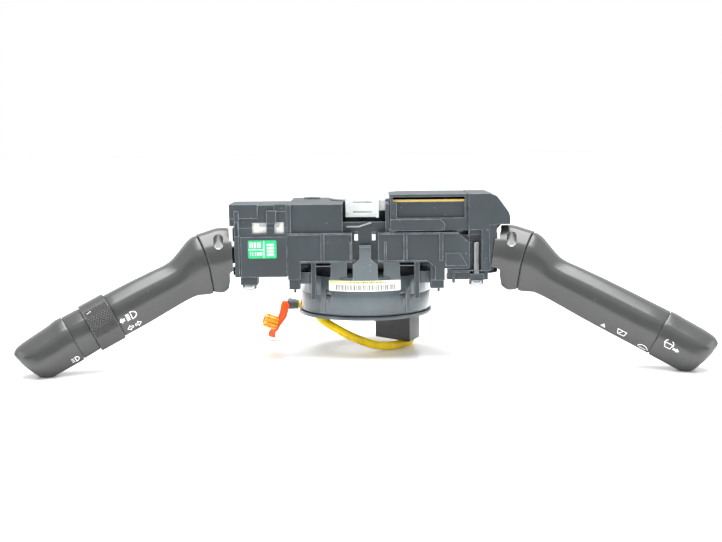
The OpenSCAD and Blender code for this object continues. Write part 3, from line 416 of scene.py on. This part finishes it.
ring_rows = [(68.2, 15.4, 15.0, 0, 0), (68.35, 15.9, 15.4, 0, 0), (68.8, 16.3, 15.8, 0, 0), (73, 16.3, 15.9, 0, 0),
             (81, 16.3, 15.9, 0, 0), (85.6, 16.3, 15.8, 0, 0), (86.0, 15.9, 15.4, 0, 0), (86.2, 15.3, 14.9, 0, 0)]
ring_skin = new_piece("fog_ring_skin", lever_shape(ring_rows, left_lever), knurled_abs(), "fog_lamp_ring")
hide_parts("fog_ring")


# The roots of the levers: each is a shaped block on the tilt pin, with a sloping oval hole for the mould's core.
# The oval goes right through, and the white table shows in its lower end.
CASE_FACE = -58.4


def prism(outline, way):
    """A closed block: a flat outline in millimetres, drawn along a way."""
    shape = bmesh.new()
    face = shape.faces.new([shape.verts.new(Vector(corner) * MM) for corner in outline])
    drawn = bmesh.ops.extrude_face_region(shape, geom=[face])["geom"]
    bmesh.ops.translate(shape, verts=[g for g in drawn if isinstance(g, bmesh.types.BMVert)], vec=Vector(way) * MM)
    bmesh.ops.holes_fill(shape, edges=[e for e in shape.edges if e.is_boundary], sides=0)
    return shape


def lever_root(name, place, body, node, clear, lip):
    """Loft of the root, cut straight beside the switch and pierced by the oval hole."""
    lean_in = -math.tan(math.radians(LEVER_DROOP))
    seat = (16.2 - LEVER_REACH) / math.cos(math.radians(LEVER_DROOP))
    shape = lever_shape(eased([
        (seat - 9, 17.4, 20.5, -6.6, lean_in), (seat - 4, 17.6, 19.6, -4.6, lean_in),
        (seat, 17.8, 18.6, -3, lean_in), (-12, 20.2, 17.4, -1.6, -0.4),
        (-6, 20.2, 17.2, -0.2, -0.3), (-1.4, 19.9, 16.8, 1.2, -0.2), (-1.0, 19.6, 16.6, 1.2, -0.2),
        (-0.7, 19.0, 16, 1.2, -0.2)]), left_lever)
    bmesh.ops.recalc_face_normals(shape, faces=shape.faces)
    oval = bmesh.new()
    bmesh.ops.create_circle(oval, cap_ends=True, radius=3.2 * MM, segments=40)
    for vert in oval.verts:
        vert.co.y += math.copysign(2.5 * MM, vert.co.y)
        vert.co.z = -40 * MM
    drawn = bmesh.ops.extrude_face_region(oval, geom=oval.faces[:])["geom"]
    bmesh.ops.translate(oval, verts=[g for g in drawn if isinstance(g, bmesh.types.BMVert)], vec=(0, 0, 80 * MM))
    bmesh.ops.holes_fill(oval, edges=[e for e in oval.edges if e.is_boundary], sides=0)
    bmesh.ops.transform(oval, verts=oval.verts, matrix=Matrix.Translation(Vector((-98.9, -50, -19.6)) * MM)
                        @ Matrix.Rotation(math.radians(7), 4, "Z") @ Matrix.Rotation(math.radians(66), 4, "X"))
    inside = prism([(x, y, -70) for x, y in (
        (-clear, CASE_FACE), (-clear, -56), (-clear - 2.2, -50), (-93.2, -46), (-93.2, -36), (-97, -26), (-97, 10),
        (-40, 10), (-40, CASE_FACE))], (0, 0, 90))
    front = prism([(x, CASE_FACE, z) for x, z in lip], (0, -30, 0))
    blank = placed("root blank", shape)
    tools = []
    for cutter in (inside, front, oval):
        bmesh.ops.recalc_face_normals(cutter, faces=cutter.faces)
        tools.append(placed("core", cutter))
        cut = blank.modifiers.new("core", "BOOLEAN")
        cut.operation = "DIFFERENCE"
        cut.solver = "EXACT"
        cut.object = tools[-1]
    bpy.context.view_layer.update()
    result = bmesh.new()
    result.from_mesh(blank.evaluated_get(bpy.context.evaluated_depsgraph_get()).to_mesh())
    for thing in (blank, *tools):
        bpy.data.objects.remove(thing)
    # The tongue on the tilt pin
    pivot = Matrix.Translation(Vector(TILT_PIN) * MM) @ Matrix.Rotation(math.radians(LEVER_SWEEP), 4, "Z")
    bmesh.ops.create_cube(result, size=1, matrix=pivot @ Matrix.Translation(Vector((-8.85, 0, 0)) * MM)
                          @ Matrix.Diagonal((17.7 * MM, 9.6 * MM, 11 * MM, 1)))
    bmesh.ops.create_cone(result, cap_ends=True, segments=48, radius1=5.5 * MM, radius2=5.5 * MM, depth=9.6 * MM,
                          matrix=pivot @ Matrix.Rotation(math.radians(90), 4, "X"))
    if place is right_lever:
        bmesh.ops.scale(result, vec=(-1, 1, 1), verts=result.verts)
    bmesh.ops.remove_doubles(result, verts=result.verts, dist=0.000001)
    piece = new_piece(name, result, lever_abs, body, sharp=24)
    rounded = piece.modifiers.new("mould radius", "BEVEL")
    rounded.width = 0.35 * MM
    rounded.segments = 2
    rounded.limit_method = "ANGLE"
    rounded.angle_limit = 0.75
    rounded.harden_normals = True
    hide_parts(node)


lever_root("lighting_root_skin", left_lever, "lighting_arm", "lighting_hub", 90.8,
           ((-89.4, 10), (-88.6, -27.6), (-88.4, -27.8), (-88.4, -70), (-50, -70), (-50, 10)))
lever_root("wiper_root_skin", right_lever, "wiper_arm", "wiper_hub", 90.2,
           ((-96.9, 10), (-96.7, -7.8), (-88.6, -8.2), (-86.2, -18), (-84.4, -31.5), (-83.6, -70), (-50, -70),
            (-50, 10)))


# White screen-printed pictograms on the levers, of the standard kinds: high beam, turn signals, lights, wipers
# and washer. The ink is a film a few hundredths of a millimetre thick on the grained plastic.
def screen_ink():
    """Two-component screen ink: matt white, very slightly broken by the grain under it."""
    mat, tree, place = start_material("white_screen_ink")
    thin = add(tree, "TexNoise", Vector=place, Scale=1800.0, Detail=2.0)
    shade = add(tree, "ValToRGB", Fac=thin.outputs["Fac"])
    shade.color_ramp.elements[0].position = 0.25
    shade.color_ramp.elements[0].color = linear("#b9bbb8")
    shade.color_ramp.elements[1].position = 0.45
    shade.color_ramp.elements[1].color = linear("#f7f8f5")
    shader = add(tree, "BsdfPrincipled", Base_Color=shade.outputs["Color"], Roughness=0.5, IOR=1.5)
    add(tree, "OutputMaterial", Surface=shader.outputs["BSDF"])
    return mat


ink = screen_ink()


def stroke(points, width, closed=False):
    """A line of even width through points, as a strip of quads: each corner's two sides."""
    sides = []
    count = len(points)
    for i, (s, u) in enumerate(points):
        a = points[(i - 1) % count] if closed or i else points[i]
        b = points[(i + 1) % count] if closed or i < count - 1 else points[i]
        before, after = Vector((s - a[0], u - a[1])), Vector((b[0] - s, b[1] - u))
        ref = after.normalized() if after.length else before.normalized()
        way = ((before.normalized() if before.length else after.normalized()) + ref).normalized()
        grow = width / 2 / max(abs(way.dot(ref)), 0.4)
        sides.append(((s - way.y * grow, u + way.x * grow), (s + way.y * grow, u - way.x * grow)))
    rows = sides + sides[:1] if closed else sides
    return [(p[0], p[1], q[1], q[0]) for p, q in zip(rows, rows[1:])]


def printed(name, marks, place, centre, carrier, body):
    """Lays flat marks (place along the lever, height) on the lever's skin, as seen square to its front."""
    skin = bmesh.new()
    skin.from_mesh(carrier.data)
    tree = BVHTree.FromBMesh(skin)
    shape = bmesh.new()
    for mark in marks:
        shape.faces.new([shape.verts.new((u, s, 0)) for s, u in mark])
    bmesh.ops.remove_doubles(shape, verts=shape.verts, dist=0.01)
    bmesh.ops.triangulate(shape, faces=shape.faces)
    long_edges = [e for e in shape.edges if e.calc_length() > 0.9]
    bmesh.ops.subdivide_edges(shape, edges=long_edges, cuts=2, use_grid_fill=True)
    bmesh.ops.triangulate(shape, faces=shape.faces)
    aim = (place.to_3x3() @ Vector((0, 1, 0))).normalized()
    for vert in shape.verts:
        start = place @ (Vector((vert.co.x + centre[1], -30, vert.co.y + centre[0])) * MM)
        spot, normal, _, _ = tree.ray_cast(start, aim)
        if spot is None:
            spot, normal, _, _ = tree.find_nearest(start)
        if normal.dot(aim) > 0:
            normal = -normal
        vert.co = spot + normal * 0.05 * MM
    skin.free()
    for face in shape.faces:
        face.normal_update()
        if face.normal.dot(aim) > 0:
            face.normal_flip()
    film = placed(name, shape)
    film.data.materials.append(ink)
    thick = film.modifiers.new("film", "SOLIDIFY")
    thick.thickness = 0.04 * MM
    thick.offset = -1
    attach(film, body)
    return film


def arc(cx, cy, rx, ry, start, end, count):
    """Points on an ellipse between two angles in degrees."""
    return [(cx + rx * math.cos(math.radians(start + (end - start) * k / (count - 1))),
             cy + ry * math.sin(math.radians(start + (end - start) * k / (count - 1)))) for k in range(count)]


def arrow(length, height):
    """A bold arrow with a short shaft."""
    tip, side, shaft = length / 2, height / 2, height / 4.4
    return [[(tip, 0), (0, side), (0, -side)], [(0, shaft), (0, -shaft), (-tip, -shaft), (-tip, shaft)]]


def open_arrow(s, length, height):
    """The turn signal's arrow, as an outline. A negative length points it back."""
    tip, side, shaft = length / 2, height / 2, height / 5
    return stroke([(s + tip, 0), (s, side), (s, shaft), (s - tip, shaft), (s - tip, -shaft), (s, -shaft),
                   (s, -side)], 0.45, True)


lamp = stroke(arc(-0.9, 0, 3.6, 2.6, 90, 270, 15), 0.6, True)
rays = [q for k in range(5) for q in stroke([(0.3, -2.1 + k * 1.05), (2.8, -2.1 + k * 1.05)], 0.5)]
printed("high_beam_mark", lamp + rays, left_lever, (59.9, -3.2), lighting_skin, "lighting_arm")
printed("high_beam_arrow", arrow(3.7, 4.2), left_lever, (65.7, -3.4), lighting_skin, "lighting_arm")
printed("turn_signal_marks", open_arrow(0, 4.1, 3.3) + open_arrow(-5.8, -4.1, 3.3), left_lever,
        (62.9, -11.0), lighting_skin, "lighting_arm")
knob_lamp = stroke(arc(-0.6, 0, 2.3, 1.6, 90, 270, 11), 0.5, True)
knob_rays = [q for k in range(3) for q in stroke([(0.4, -1.2 + k * 1.2), (2.2, -1.2 + k * 1.2)], 0.4)]
printed("light_switch_mark", knob_lamp + knob_rays, left_lever, (103.9, -11.6), knob_skin, "light_switch_knob")
# A thin dash of the white ink along the ring's upper edge: a painted highlight streak.
printed("ring_edge_highlight_dash", stroke([(-1.7, 0.3), (0, 0), (1.5, -0.3)], 0.16), left_lever, (82.0, 11.6), ring_skin,
        "fog_lamp_ring")
screen = [(-3.6, 2.0), (3.6, 2.0), (2.6, -2.0), (-2.6, -2.0)]
printed("intermittent_mark", [[(-1.7, -1.2), (1.7, -1.2), (0, 1.3)]], right_lever, (64.7, -11.5), wiper_skin,
        "wiper_arm")
wiper_lines = stroke([(q[0] * 0.86, q[1] * 0.8) for q in screen], 0.42, True)
wiper_lines += stroke([(-1.6, -1.3), (0.4, 1.2)], 0.4)
printed("wiper_mark", wiper_lines, right_lever, (77.3, -10.3), wiper_skin, "wiper_arm")
printed("mist_mark", stroke(arc(0, -2.6, 3.9, 3.6, 25, 155, 11), 0.45) + stroke([(-2.4, -1.4), (2.2, -1.4)], 0.4),
        right_lever, (93.5, -12.0), wiper_skin, "wiper_arm")
jets = stroke(arc(-1.0, 0.6, 2.0, 2.4, 100, 200, 7), 0.42) + stroke(arc(1.0, 0.6, 2.0, 2.4, 80, -20, 7), 0.42)
printed("washer_mark", stroke([(q[0] * 0.72, q[1] * 0.8 - 0.7) for q in screen], 0.42, True) + jets, right_lever,
        (107.0, -1.7), cap_skin, "wiper_arm")
printed("washer_arrow", arrow(4.4, 2.8), right_lever, (112.7, -2.8), cap_skin, "wiper_arm")


# Contact pins, screws and pins: stamped brass strip, and turned steel with a zinc coat.
# They sit deep in sockets and recesses, so their edges catch only a little light.
def bright_metal(name, colour, roughness, streak_mm):
    """Metal with fine marks from drawing or turning, slightly dulled in patches."""
    mat, tree, place = start_material(name)
    marks = add(tree, "TexNoise", Vector=place, Scale=1000 / streak_mm, Detail=3.0, Distortion=0.4)
    patch = add(tree, "TexNoise", Vector=place, Scale=120.0, Detail=2.0)
    shade = add(tree, "MapRange", Value=patch.outputs["Fac"], From_Min=0.3, From_Max=0.7, To_Min=0.8, To_Max=1.1)
    base = add(tree, "VectorMath", {"operation": "SCALE"}, i0=linear(colour)[:3], Scale=shade.outputs["Result"])
    dull = add(tree, "MapRange", Value=marks.outputs["Fac"], From_Min=0.3, From_Max=0.7, To_Min=roughness - 0.08,
               To_Max=roughness + 0.1)
    bump = add(tree, "Bump", Height=marks.outputs["Fac"], Strength=0.2, Distance=0.00003)
    shader = add(tree, "BsdfPrincipled", Base_Color=base.outputs["Vector"], Metallic=1.0, Normal=bump.outputs["Normal"],
                 Roughness=dull.outputs["Result"])
    add(tree, "OutputMaterial", Surface=shader.outputs["BSDF"])
    return mat


brass_strip = bright_metal("stamped_brass_strip", "#d9bb78", 0.28, 0.4)
zinc_steel = bright_metal("zinc_plated_steel", "#a9adb0", 0.34, 0.6)
for part in ("lighting_pins", "wiper_pins", "reel_socket_pins", "tower_pins", "turn_plunger", "wiper_plunger"):
    finish_moulding(part, brass_strip, edge_mm=0.12)
for part in ("module_screws", "turn_pin", "wiper_pin", "light_rod"):
    finish_moulding(part, zinc_steel, edge_mm=0.2)


# The control unit's circuit board: woven glass laminate, cut to a pale tan edge, with green lacquer on its faces.
# Only the edge shows, in the slot under the lid.
def glass_laminate():
    """FR-4: the cut edge shows thin layers of glass cloth, the faces carry solder resist."""
    mat, tree, place = start_material("glass_epoxy_laminate")
    layers = add(tree, "TexWave", {"bands_direction": "Z"}, Vector=place, Scale=1000 / 0.4 / 6.283, Distortion=1.5,
                 Detail=2.0)
    cut = add(tree, "ValToRGB", Fac=layers.outputs["Fac"])
    cut.color_ramp.elements[0].color = linear("#a58b45")
    cut.color_ramp.elements[1].color = linear("#d9bd70")
    facing = add(tree, "NewGeometry").outputs["Normal"]
    tilt = add(tree, "SeparateXYZ", Vector=facing)
    flat = add(tree, "Math", {"operation": "ABSOLUTE"}, i0=tilt.outputs["Z"])
    top = add(tree, "MapRange", Value=flat.outputs["Value"], From_Min=0.6, From_Max=0.8, To_Min=0.0, To_Max=1.0)
    both = add(tree, "Mix", {"data_type": "RGBA"}, i0=top.outputs["Result"], i6=cut.outputs["Color"],
               i7=linear("#2f5a37"))
    shader = add(tree, "BsdfPrincipled", Base_Color=both.outputs[2], Roughness=0.45, IOR=1.55)
    add(tree, "OutputMaterial", Surface=shader.outputs["BSDF"])
    return mat


finish_moulding("control_board", glass_laminate(), edge_mm=0.1)


# The flat cable in the reel: thin copper strips between clear polyester films, wound like a clock spring.
# It is hidden in the case and shows only through the open seam of a cut unit.
def ribbon_film():
    """Laminated polyester film: amber, glossy, with copper strips across its width."""
    mat, tree, place = start_material("polyester_copper_laminate")
    strips = add(tree, "TexWave", {"bands_direction": "Z"}, Vector=place, Scale=1000 / 2.2 / 6.283, Distortion=0.0)
    shade = add(tree, "ValToRGB", {}, Fac=strips.outputs["Fac"])
    shade.color_ramp.elements[0].color = linear("#c98f4e")
    shade.color_ramp.elements[1].color = linear("#e0c48a")
    shader = add(tree, "BsdfPrincipled", Base_Color=shade.outputs["Color"], Roughness=0.2, IOR=1.6)
    add(tree, "OutputMaterial", Surface=shader.outputs["BSDF"])
    return mat


finish_moulding("ribbon_coil", ribbon_film(), edge_mm=0.05)


# Two light grey latch tabs of the contact carrier reach into the windows of the lighting switch,
# and a rib stands in the recess beside the reel's hook, drawn in light grey as a painted highlight on its lit edge.
# Small mouldings, snapped or moulded in place.
def small_block(name, low, high, material, body="column_unit", radius=0.35):
    """A small moulded block with rounded edges, between two corners in millimetres."""
    shape = bmesh.new()
    size = [b - a for a, b in zip(low, high)]
    middle = [(a + b) / 2 for a, b in zip(low, high)]
    bmesh.ops.create_cube(shape, size=1, matrix=Matrix.Translation(Vector(middle) * MM)
                          @ Matrix.Diagonal((*[s * MM for s in size], 1)))
    bmesh.ops.bevel(shape, geom=shape.edges[:], offset=radius * MM, affect="EDGES", segments=3, profile=0.5,
                    material=-1)
    return new_piece(name, shape, material, body, sharp=40)


small_block("window_tab_left", (-70.6, -56.4, -6.2), (-65.8, -53.4, -3.5), grey_shade)
small_block("window_tab_right", (-60.4, -56.4, -6.3), (-57.6, -53.4, -3.3), grey_shade)


def front_plate(name, outline, near, far, material=body_nylon, body="column_unit",
                radius=0.25):
    """A flat moulded shape seen from the front (X and Z in millimetres) between two depths."""
    shape = prism([(x, far, z) for x, z in outline], (0, near - far, 0))
    bmesh.ops.bevel(shape, geom=shape.edges[:], offset=radius * MM, affect="EDGES", segments=2, profile=0.5,
                    material=-1)
    return new_piece(name, shape, material, body, sharp=40)


# The side wall of the lighting case, the wiper case's slanted corner, the latch frame under the wiper side
# and the two lugs behind the reel. All of them belong to the big charcoal mouldings.
front_plate("lighting_case_side_wall", [(-87.6, -5.2), (-86.8, -5.2), (-86.8, -27), (-87.6, -27)], -57.2, -54.4)
front_plate("wiper_case_corner", [(83, -6), (88.4, -6), (87.6, -19), (84.4, -30.6), (83, -30.6)], -57.4, -54.6)
front_plate("latch_frame_top", [(58.4, -36.6), (70.4, -36.6), (70.4, -38.2), (58.4, -38.2)], -57, -52)
front_plate("latch_frame_side", [(58.4, -37.8), (60.2, -37.8), (60.2, -45.2), (58.4, -45.2)], -57, -52)
for side, name in ((-1, "rear_lug_left"), (1, "rear_lug_right")):
    front_plate(name, [(side * x, z) for x, z in ((39, -38.6), (51.9, -38.6), (51.9, -46.6), (50.4, -48), (39, -48))],
                21.7, 23.9)
# The rib gets the light grey acetal: a painted highlight where its edge catches the light.
front_plate("recess_rib", [(-12.4, -6.6), (-4.2, -6.6), (4.0, -4.0), (4.6, -4.9), (-3.8, -7.6), (-12.4, -7.6)],
            -51.6, -50.3, grey_shade)


# A green self-adhesive label on the lighting switch: printed film with rounded corners, ruled into three fields.
# The print is plain bars. It is 19 by 12 mm.
def label_stock(name, colour, deep, gloss):
    """Coated label film, with a faint unevenness from the print and light wear."""
    mat, tree, place = start_material(name)
    worn = add(tree, "TexNoise", Vector=place, Scale=420.0, Detail=4.0)
    shade = add(tree, "ValToRGB", Fac=worn.outputs["Fac"])
    shade.color_ramp.elements[0].position = 0.3
    shade.color_ramp.elements[0].color = linear(deep)
    shade.color_ramp.elements[1].position = 0.6
    shade.color_ramp.elements[1].color = linear(colour)
    bump = add(tree, "Bump", Height=worn.outputs["Fac"], Strength=0.1, Distance=0.00005)
    shader = add(tree, "BsdfPrincipled", Base_Color=shade.outputs["Color"], Normal=bump.outputs["Normal"],
                 Roughness=gloss, IOR=1.46)
    add(tree, "OutputMaterial", Surface=shader.outputs["BSDF"])
    return mat


def rounded_field(x, z, radius, count=6):
    """Outline of a label with rounded corners, in millimetres."""
    corners = [(x[1] - radius, z[1] - radius, 0), (x[0] + radius, z[1] - radius, 90),
               (x[0] + radius, z[0] + radius, 180), (x[1] - radius, z[0] + radius, 270)]
    return [p for cx, cz, turn in corners for p in arc(cx, cz, radius, radius, turn, turn + 90, count)]


def film(name, outlines, bend, material, slot, thick=0.08, cuts=0):
    """Thin film cut to outlines. Bend gives the depth of the surface that it lies on at a place X."""
    shape = bmesh.new()
    for outline in outlines:
        shape.faces.new([shape.verts.new((x, 0, z)) for x, z in outline])
    for k in range(1, cuts):
        low, high = min(v.co.x for v in shape.verts), max(v.co.x for v in shape.verts)
        bmesh.ops.bisect_plane(shape, geom=shape.verts[:] + shape.edges[:] + shape.faces[:],
                               plane_co=(low + (high - low) * k / cuts, 0, 0), plane_no=(1, 0, 0))
    for vert in shape.verts:
        vert.co = Vector((vert.co.x, bend(vert.co.x), vert.co.z)) * MM
    for face in shape.faces:
        face.normal_update()
        if face.normal.y > 0:
            face.normal_flip()
    piece = placed(name, shape)
    piece.data.materials.append(material)
    body = piece.modifiers.new("thickness", "SOLIDIFY")
    body.thickness = thick * MM
    body.offset = -1
    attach(piece, "column_unit")
    return piece


def bar_row(x, z, widths, gap):
    """A row of upright bars that repeats a list of widths, from the left."""
    out, at, k = [], x[0], 0
    while at + widths[k % len(widths)] <= x[1]:
        w = widths[k % len(widths)]
        out.append([(at, z[0]), (at + w, z[0]), (at + w, z[1]), (at, z[1])])
        at += w + gap * (1 + (k * 7 % 3) * 0.4)
        k += 1
    return out


green_film = label_stock("green_printed_label_film", "#25b573", "#1ca366", 0.34)
white_print = label_stock("white_label_print", "#f4faf6", "#d9ece2", 0.4)
LABEL_DEPTH = -57.05
film("green_label", [rounded_field((-78.3, -59.2), (-27.3, -15.2), 1.1)], lambda x: LABEL_DEPTH, green_film,
     "black_body_plastic", thick=0.1)
fields = [[(-67.9, -27.0), (-67.45, -27.0), (-67.45, -15.5), (-67.9, -15.5)],
          [(-78.1, -21.65), (-67.9, -21.65), (-67.9, -21.25), (-78.1, -21.25)]]
fields += bar_row((-77.2, -68.6), (-20.1, -16.6), (0.95, 0.7, 1.05, 0.8), 0.55)
fields += bar_row((-76.8, -72.6), (-25.6, -22.9), (0.35,), 1.05)
fields += bar_row((-72.4, -68.8), (-25.4, -23.1), (0.6, 0.45), 0.35)
fields += [[(-65.6, z), (-61.0, z), (-61.0, z + w), (-65.6, z + w)]
           for z, w in ((-25.6, 1.5), (-23.2, 1.1), (-21.2, 1.5), (-18.9, 1.3))]
film("green_label_print", fields, lambda x: LABEL_DEPTH - 0.04, white_print, "black_body_plastic", thick=0.03)


# A white paper label is stuck across the reel's front block, above the door, and follows its curve.
# It has a pale yellow band on top and a row of plain dark bars.
BLOCK_RADIUS = 51.5


def on_block(lift):
    """Depth of the curved front block at a place X."""
    return lambda x: -math.sqrt((BLOCK_RADIUS + lift) ** 2 - x * x)


paper = label_stock("white_coated_label_paper", "#f6f6f2", "#e9e9e4", 0.5)
pale_ink = label_stock("pale_yellow_label_ink", "#eef0a8", "#e2e594", 0.5)
dark_ink = label_stock("grey_black_label_ink", "#74736f", "#57564f", 0.55)
film("reel_label", [rounded_field((-24.9, 24.1), (-51.2, -43.9), 0.7)], on_block(0.1), paper, "light_grey_plastic",
     cuts=24)
film("reel_label_band", [rounded_field((-24.6, 12.0), (-45.9, -44.1), 0.3)], on_block(0.14), pale_ink,
     "light_grey_plastic", thick=0.03, cuts=20)
film("reel_label_bars", bar_row((-19.9, 20.7), (-50.4, -46.8), (0.8, 0.45, 0.65, 0.9, 0.4), 0.42), on_block(0.15),
     dark_ink, "black_inner_plastic", thick=0.03)
film("reel_label_lines", bar_row((-10.8, 14.4), (-45.6, -44.7), (0.9, 0.5, 1.1, 0.7), 0.5), on_block(0.17), dark_ink,
     "black_inner_plastic", thick=0.03)


# The airbag plug: glass-filled polyester in orange, with an amber ribbed lock ring, on a black rubber boot.
# The colours warn that this is the airbag's circuit, and the surfaces are smooth and glossy.
def plug_plastic(name, colour, deep, roughness, glow):
    """Smooth coloured polyester, a little translucent, with small flow marks."""
    mat, tree, place = start_material(name)
    flow = add(tree, "TexNoise", Vector=place, Scale=220.0, Detail=3.0, Distortion=0.6)
    shade = add(tree, "ValToRGB", Fac=flow.outputs["Fac"])
    shade.color_ramp.elements[0].position = 0.3
    shade.color_ramp.elements[0].color = linear(deep)
    shade.color_ramp.elements[1].position = 0.65
    shade.color_ramp.elements[1].color = linear(colour)
    bump = add(tree, "Bump", Height=flow.outputs["Fac"], Strength=0.12, Distance=0.0001)
    shader = add(tree, "BsdfPrincipled", Base_Color=shade.outputs["Color"], Normal=bump.outputs["Normal"],
                 Roughness=roughness, IOR=1.55)
    shader.inputs["Subsurface Weight"].default_value = glow
    shader.inputs["Subsurface Radius"].default_value = (0.004, 0.0016, 0.0005)
    add(tree, "OutputMaterial", Surface=shader.outputs["BSDF"])
    return mat


orange_pbt = plug_plastic("orange_polyester", "#ff6414", "#f05000", 0.32, 0.15)
amber_pbt = plug_plastic("amber_polyester", "#ffb338", "#f59a1c", 0.3, 0.3)
boot_rubber = moulded_plastic("moulded_epdm_rubber", "#4c5254", "#6a6f71", roughness=0.55, grain_mm=0.3, specks=0.3)
PLUG_Y = 36.7
arm = front_plate("squib_plug_arm", [
    (-62.6, -70.0), (-59.3, -70.3), (-57.1, -73.1), (-58.4, -77.7), (-59.8, -82.6), (-64.7, -89.1), (-66.2, -92.3),
    (-68.1, -93.5), (-68.8, -98.1), (-73.9, -96.6), (-73.4, -93.5), (-71.0, -90.6), (-69.8, -87.8), (-67.0, -83.7),
    (-64.7, -77.9), (-63.9, -73.0)], PLUG_Y - 3.4, PLUG_Y + 3.4, orange_pbt,
    body="reel_rotor", radius=0.5)
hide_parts("squib_plug")


def turned(name, rings, place, material, slot, ribs=0, depth=0.0):
    """A round moulding from rings (place on the axis, radius), with ribs round it where asked."""
    sides = ribs * 4 if ribs else 40
    shape = ringed(len(rings), sides)
    for vert in shape.verts:
        along, radius = rings[round(vert.co.z)]
        k = round(math.atan2(vert.co.y, vert.co.x) / (2 * math.pi / sides))
        radius -= depth if ribs and k % 4 in (0, 1) else 0
        vert.co = Vector((vert.co.x * radius, vert.co.y * radius, along)) * MM
    bmesh.ops.transform(shape, matrix=place, verts=shape.verts)
    return new_piece(name, shape, material, "reel_rotor", sharp=35)


head_place = (Matrix.Translation(Vector((-68.2, PLUG_Y - 2.2, -86.6)) * MM)
              @ Matrix.Rotation(math.radians(-68), 4, "Y") @ Matrix.Rotation(math.radians(16), 4, "X"))
lock = turned("squib_lock_ring", [(-1, 4.6), (-0.6, 5.2), (8.2, 5.2), (9, 4.8), (9.01, 3.2), (6, 3.2)], head_place,
              amber_pbt, "amber_lock_plastic", ribs=12, depth=0.8)
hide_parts("squib_lock")
plug_core = turned("squib_plug_core", [(-1.5, 3.0), (8, 3.0), (8.6, 2.4)], head_place, orange_pbt,
                   "orange_plug_plastic")
boot_place = Matrix.Translation(Vector((-50.6, 38.5, -73.2)) * MM) @ Matrix.Rotation(math.radians(-84), 4, "Y")
boot = turned("lead_boot_skin", [(0, 3.3), (0.3, 3.6), (2.6, 3.7), (3.0, 3.9), (7.4, 4.3), (8.2, 4.0), (8.6, 3.2)],
              boot_place, boot_rubber, "boot_rubber")
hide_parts("lead_boot")


# The floor is a plain white table with a faint gloss. A white room surrounds it, darker behind the camera.
def white_table():
    """Painted board: nearly white, with a soft reflection close to what stands on it."""
    mat = bpy.data.materials.new("white_painted_board")
    mat.use_nodes = True
    tree = mat.node_tree
    tree.nodes.clear()
    shader = add(tree, "BsdfPrincipled", Base_Color=linear("#fbfbfa"), Roughness=0.2, IOR=1.45)
    shader.inputs["Emission Color"].default_value = linear("#ffffff")
    shader.inputs["Emission Strength"].default_value = 0.04
    add(tree, "OutputMaterial", Surface=shader.outputs["BSDF"])
    return mat


board = bmesh.new()
bmesh.ops.create_circle(board, cap_ends=True, radius=6, segments=96)
table = placed("table", board)
table.location.z = -100.05 * MM
table.data.materials.append(white_table())

world = bpy.data.worlds.new("studio")
bpy.context.scene.world = world
world.use_nodes = True
sky = world.node_tree
sky.nodes.clear()
toward = add(sky, "SeparateXYZ", Vector=add(sky, "TexCoord").outputs["Generated"])
height = add(sky, "MapRange", {"interpolation_type": "SMOOTHSTEP"}, Value=toward.outputs["Z"], From_Min=0.05,
             From_Max=0.6, To_Min=0.0, To_Max=1.0)
behind = add(sky, "MapRange", {"interpolation_type": "SMOOTHSTEP"}, Value=toward.outputs["Y"], From_Min=-0.7,
             From_Max=0.2, To_Min=0.06, To_Max=1.0)
room = add(sky, "Mix", {"data_type": "FLOAT"}, i0=height.outputs["Result"], i2=behind.outputs["Result"], i3=1.15)
seen = add(sky, "LightPath").outputs["Is Camera Ray"]
soft = add(sky, "Background", Strength=room.outputs[0], Color=linear("#ffffff"))
plain = add(sky, "Background", Strength=1.0, Color=linear("#ffffff"))
both = add(sky, "MixShader", Fac=seen, i1=soft.outputs["Background"], i2=plain.outputs["Background"])
add(sky, "OutputWorld", Surface=both.outputs["Shader"])


def softbox(name, place, aim, size, watts):
    """A square soft light."""
    data = bpy.data.lights.new(name, "AREA")
    data.size = size
    data.energy = watts
    lamp = bpy.data.objects.new(name, data)
    lamp.location = place
    lamp.rotation_euler = (Vector(aim) - Vector(place)).to_track_quat("-Z", "Y").to_euler()
    bpy.context.scene.collection.objects.link(lamp)


softbox("top softbox", (0, -0.1, 1.5), (0, 0, -0.1), 1.6, 74)
softbox("front softbox", (0, -1.6, 0.9), (0, 0, -0.05), 0.8, 1.2)
softbox("left softbox", (-1.4, -0.5, 0.3), (-0.1, 0, -0.05), 0.9, 5)
softbox("right softbox", (1.4, -0.4, 0.3), (0.1, 0, -0.05), 0.9, 7)
bpy.context.scene.view_settings.view_transform = "Standard"
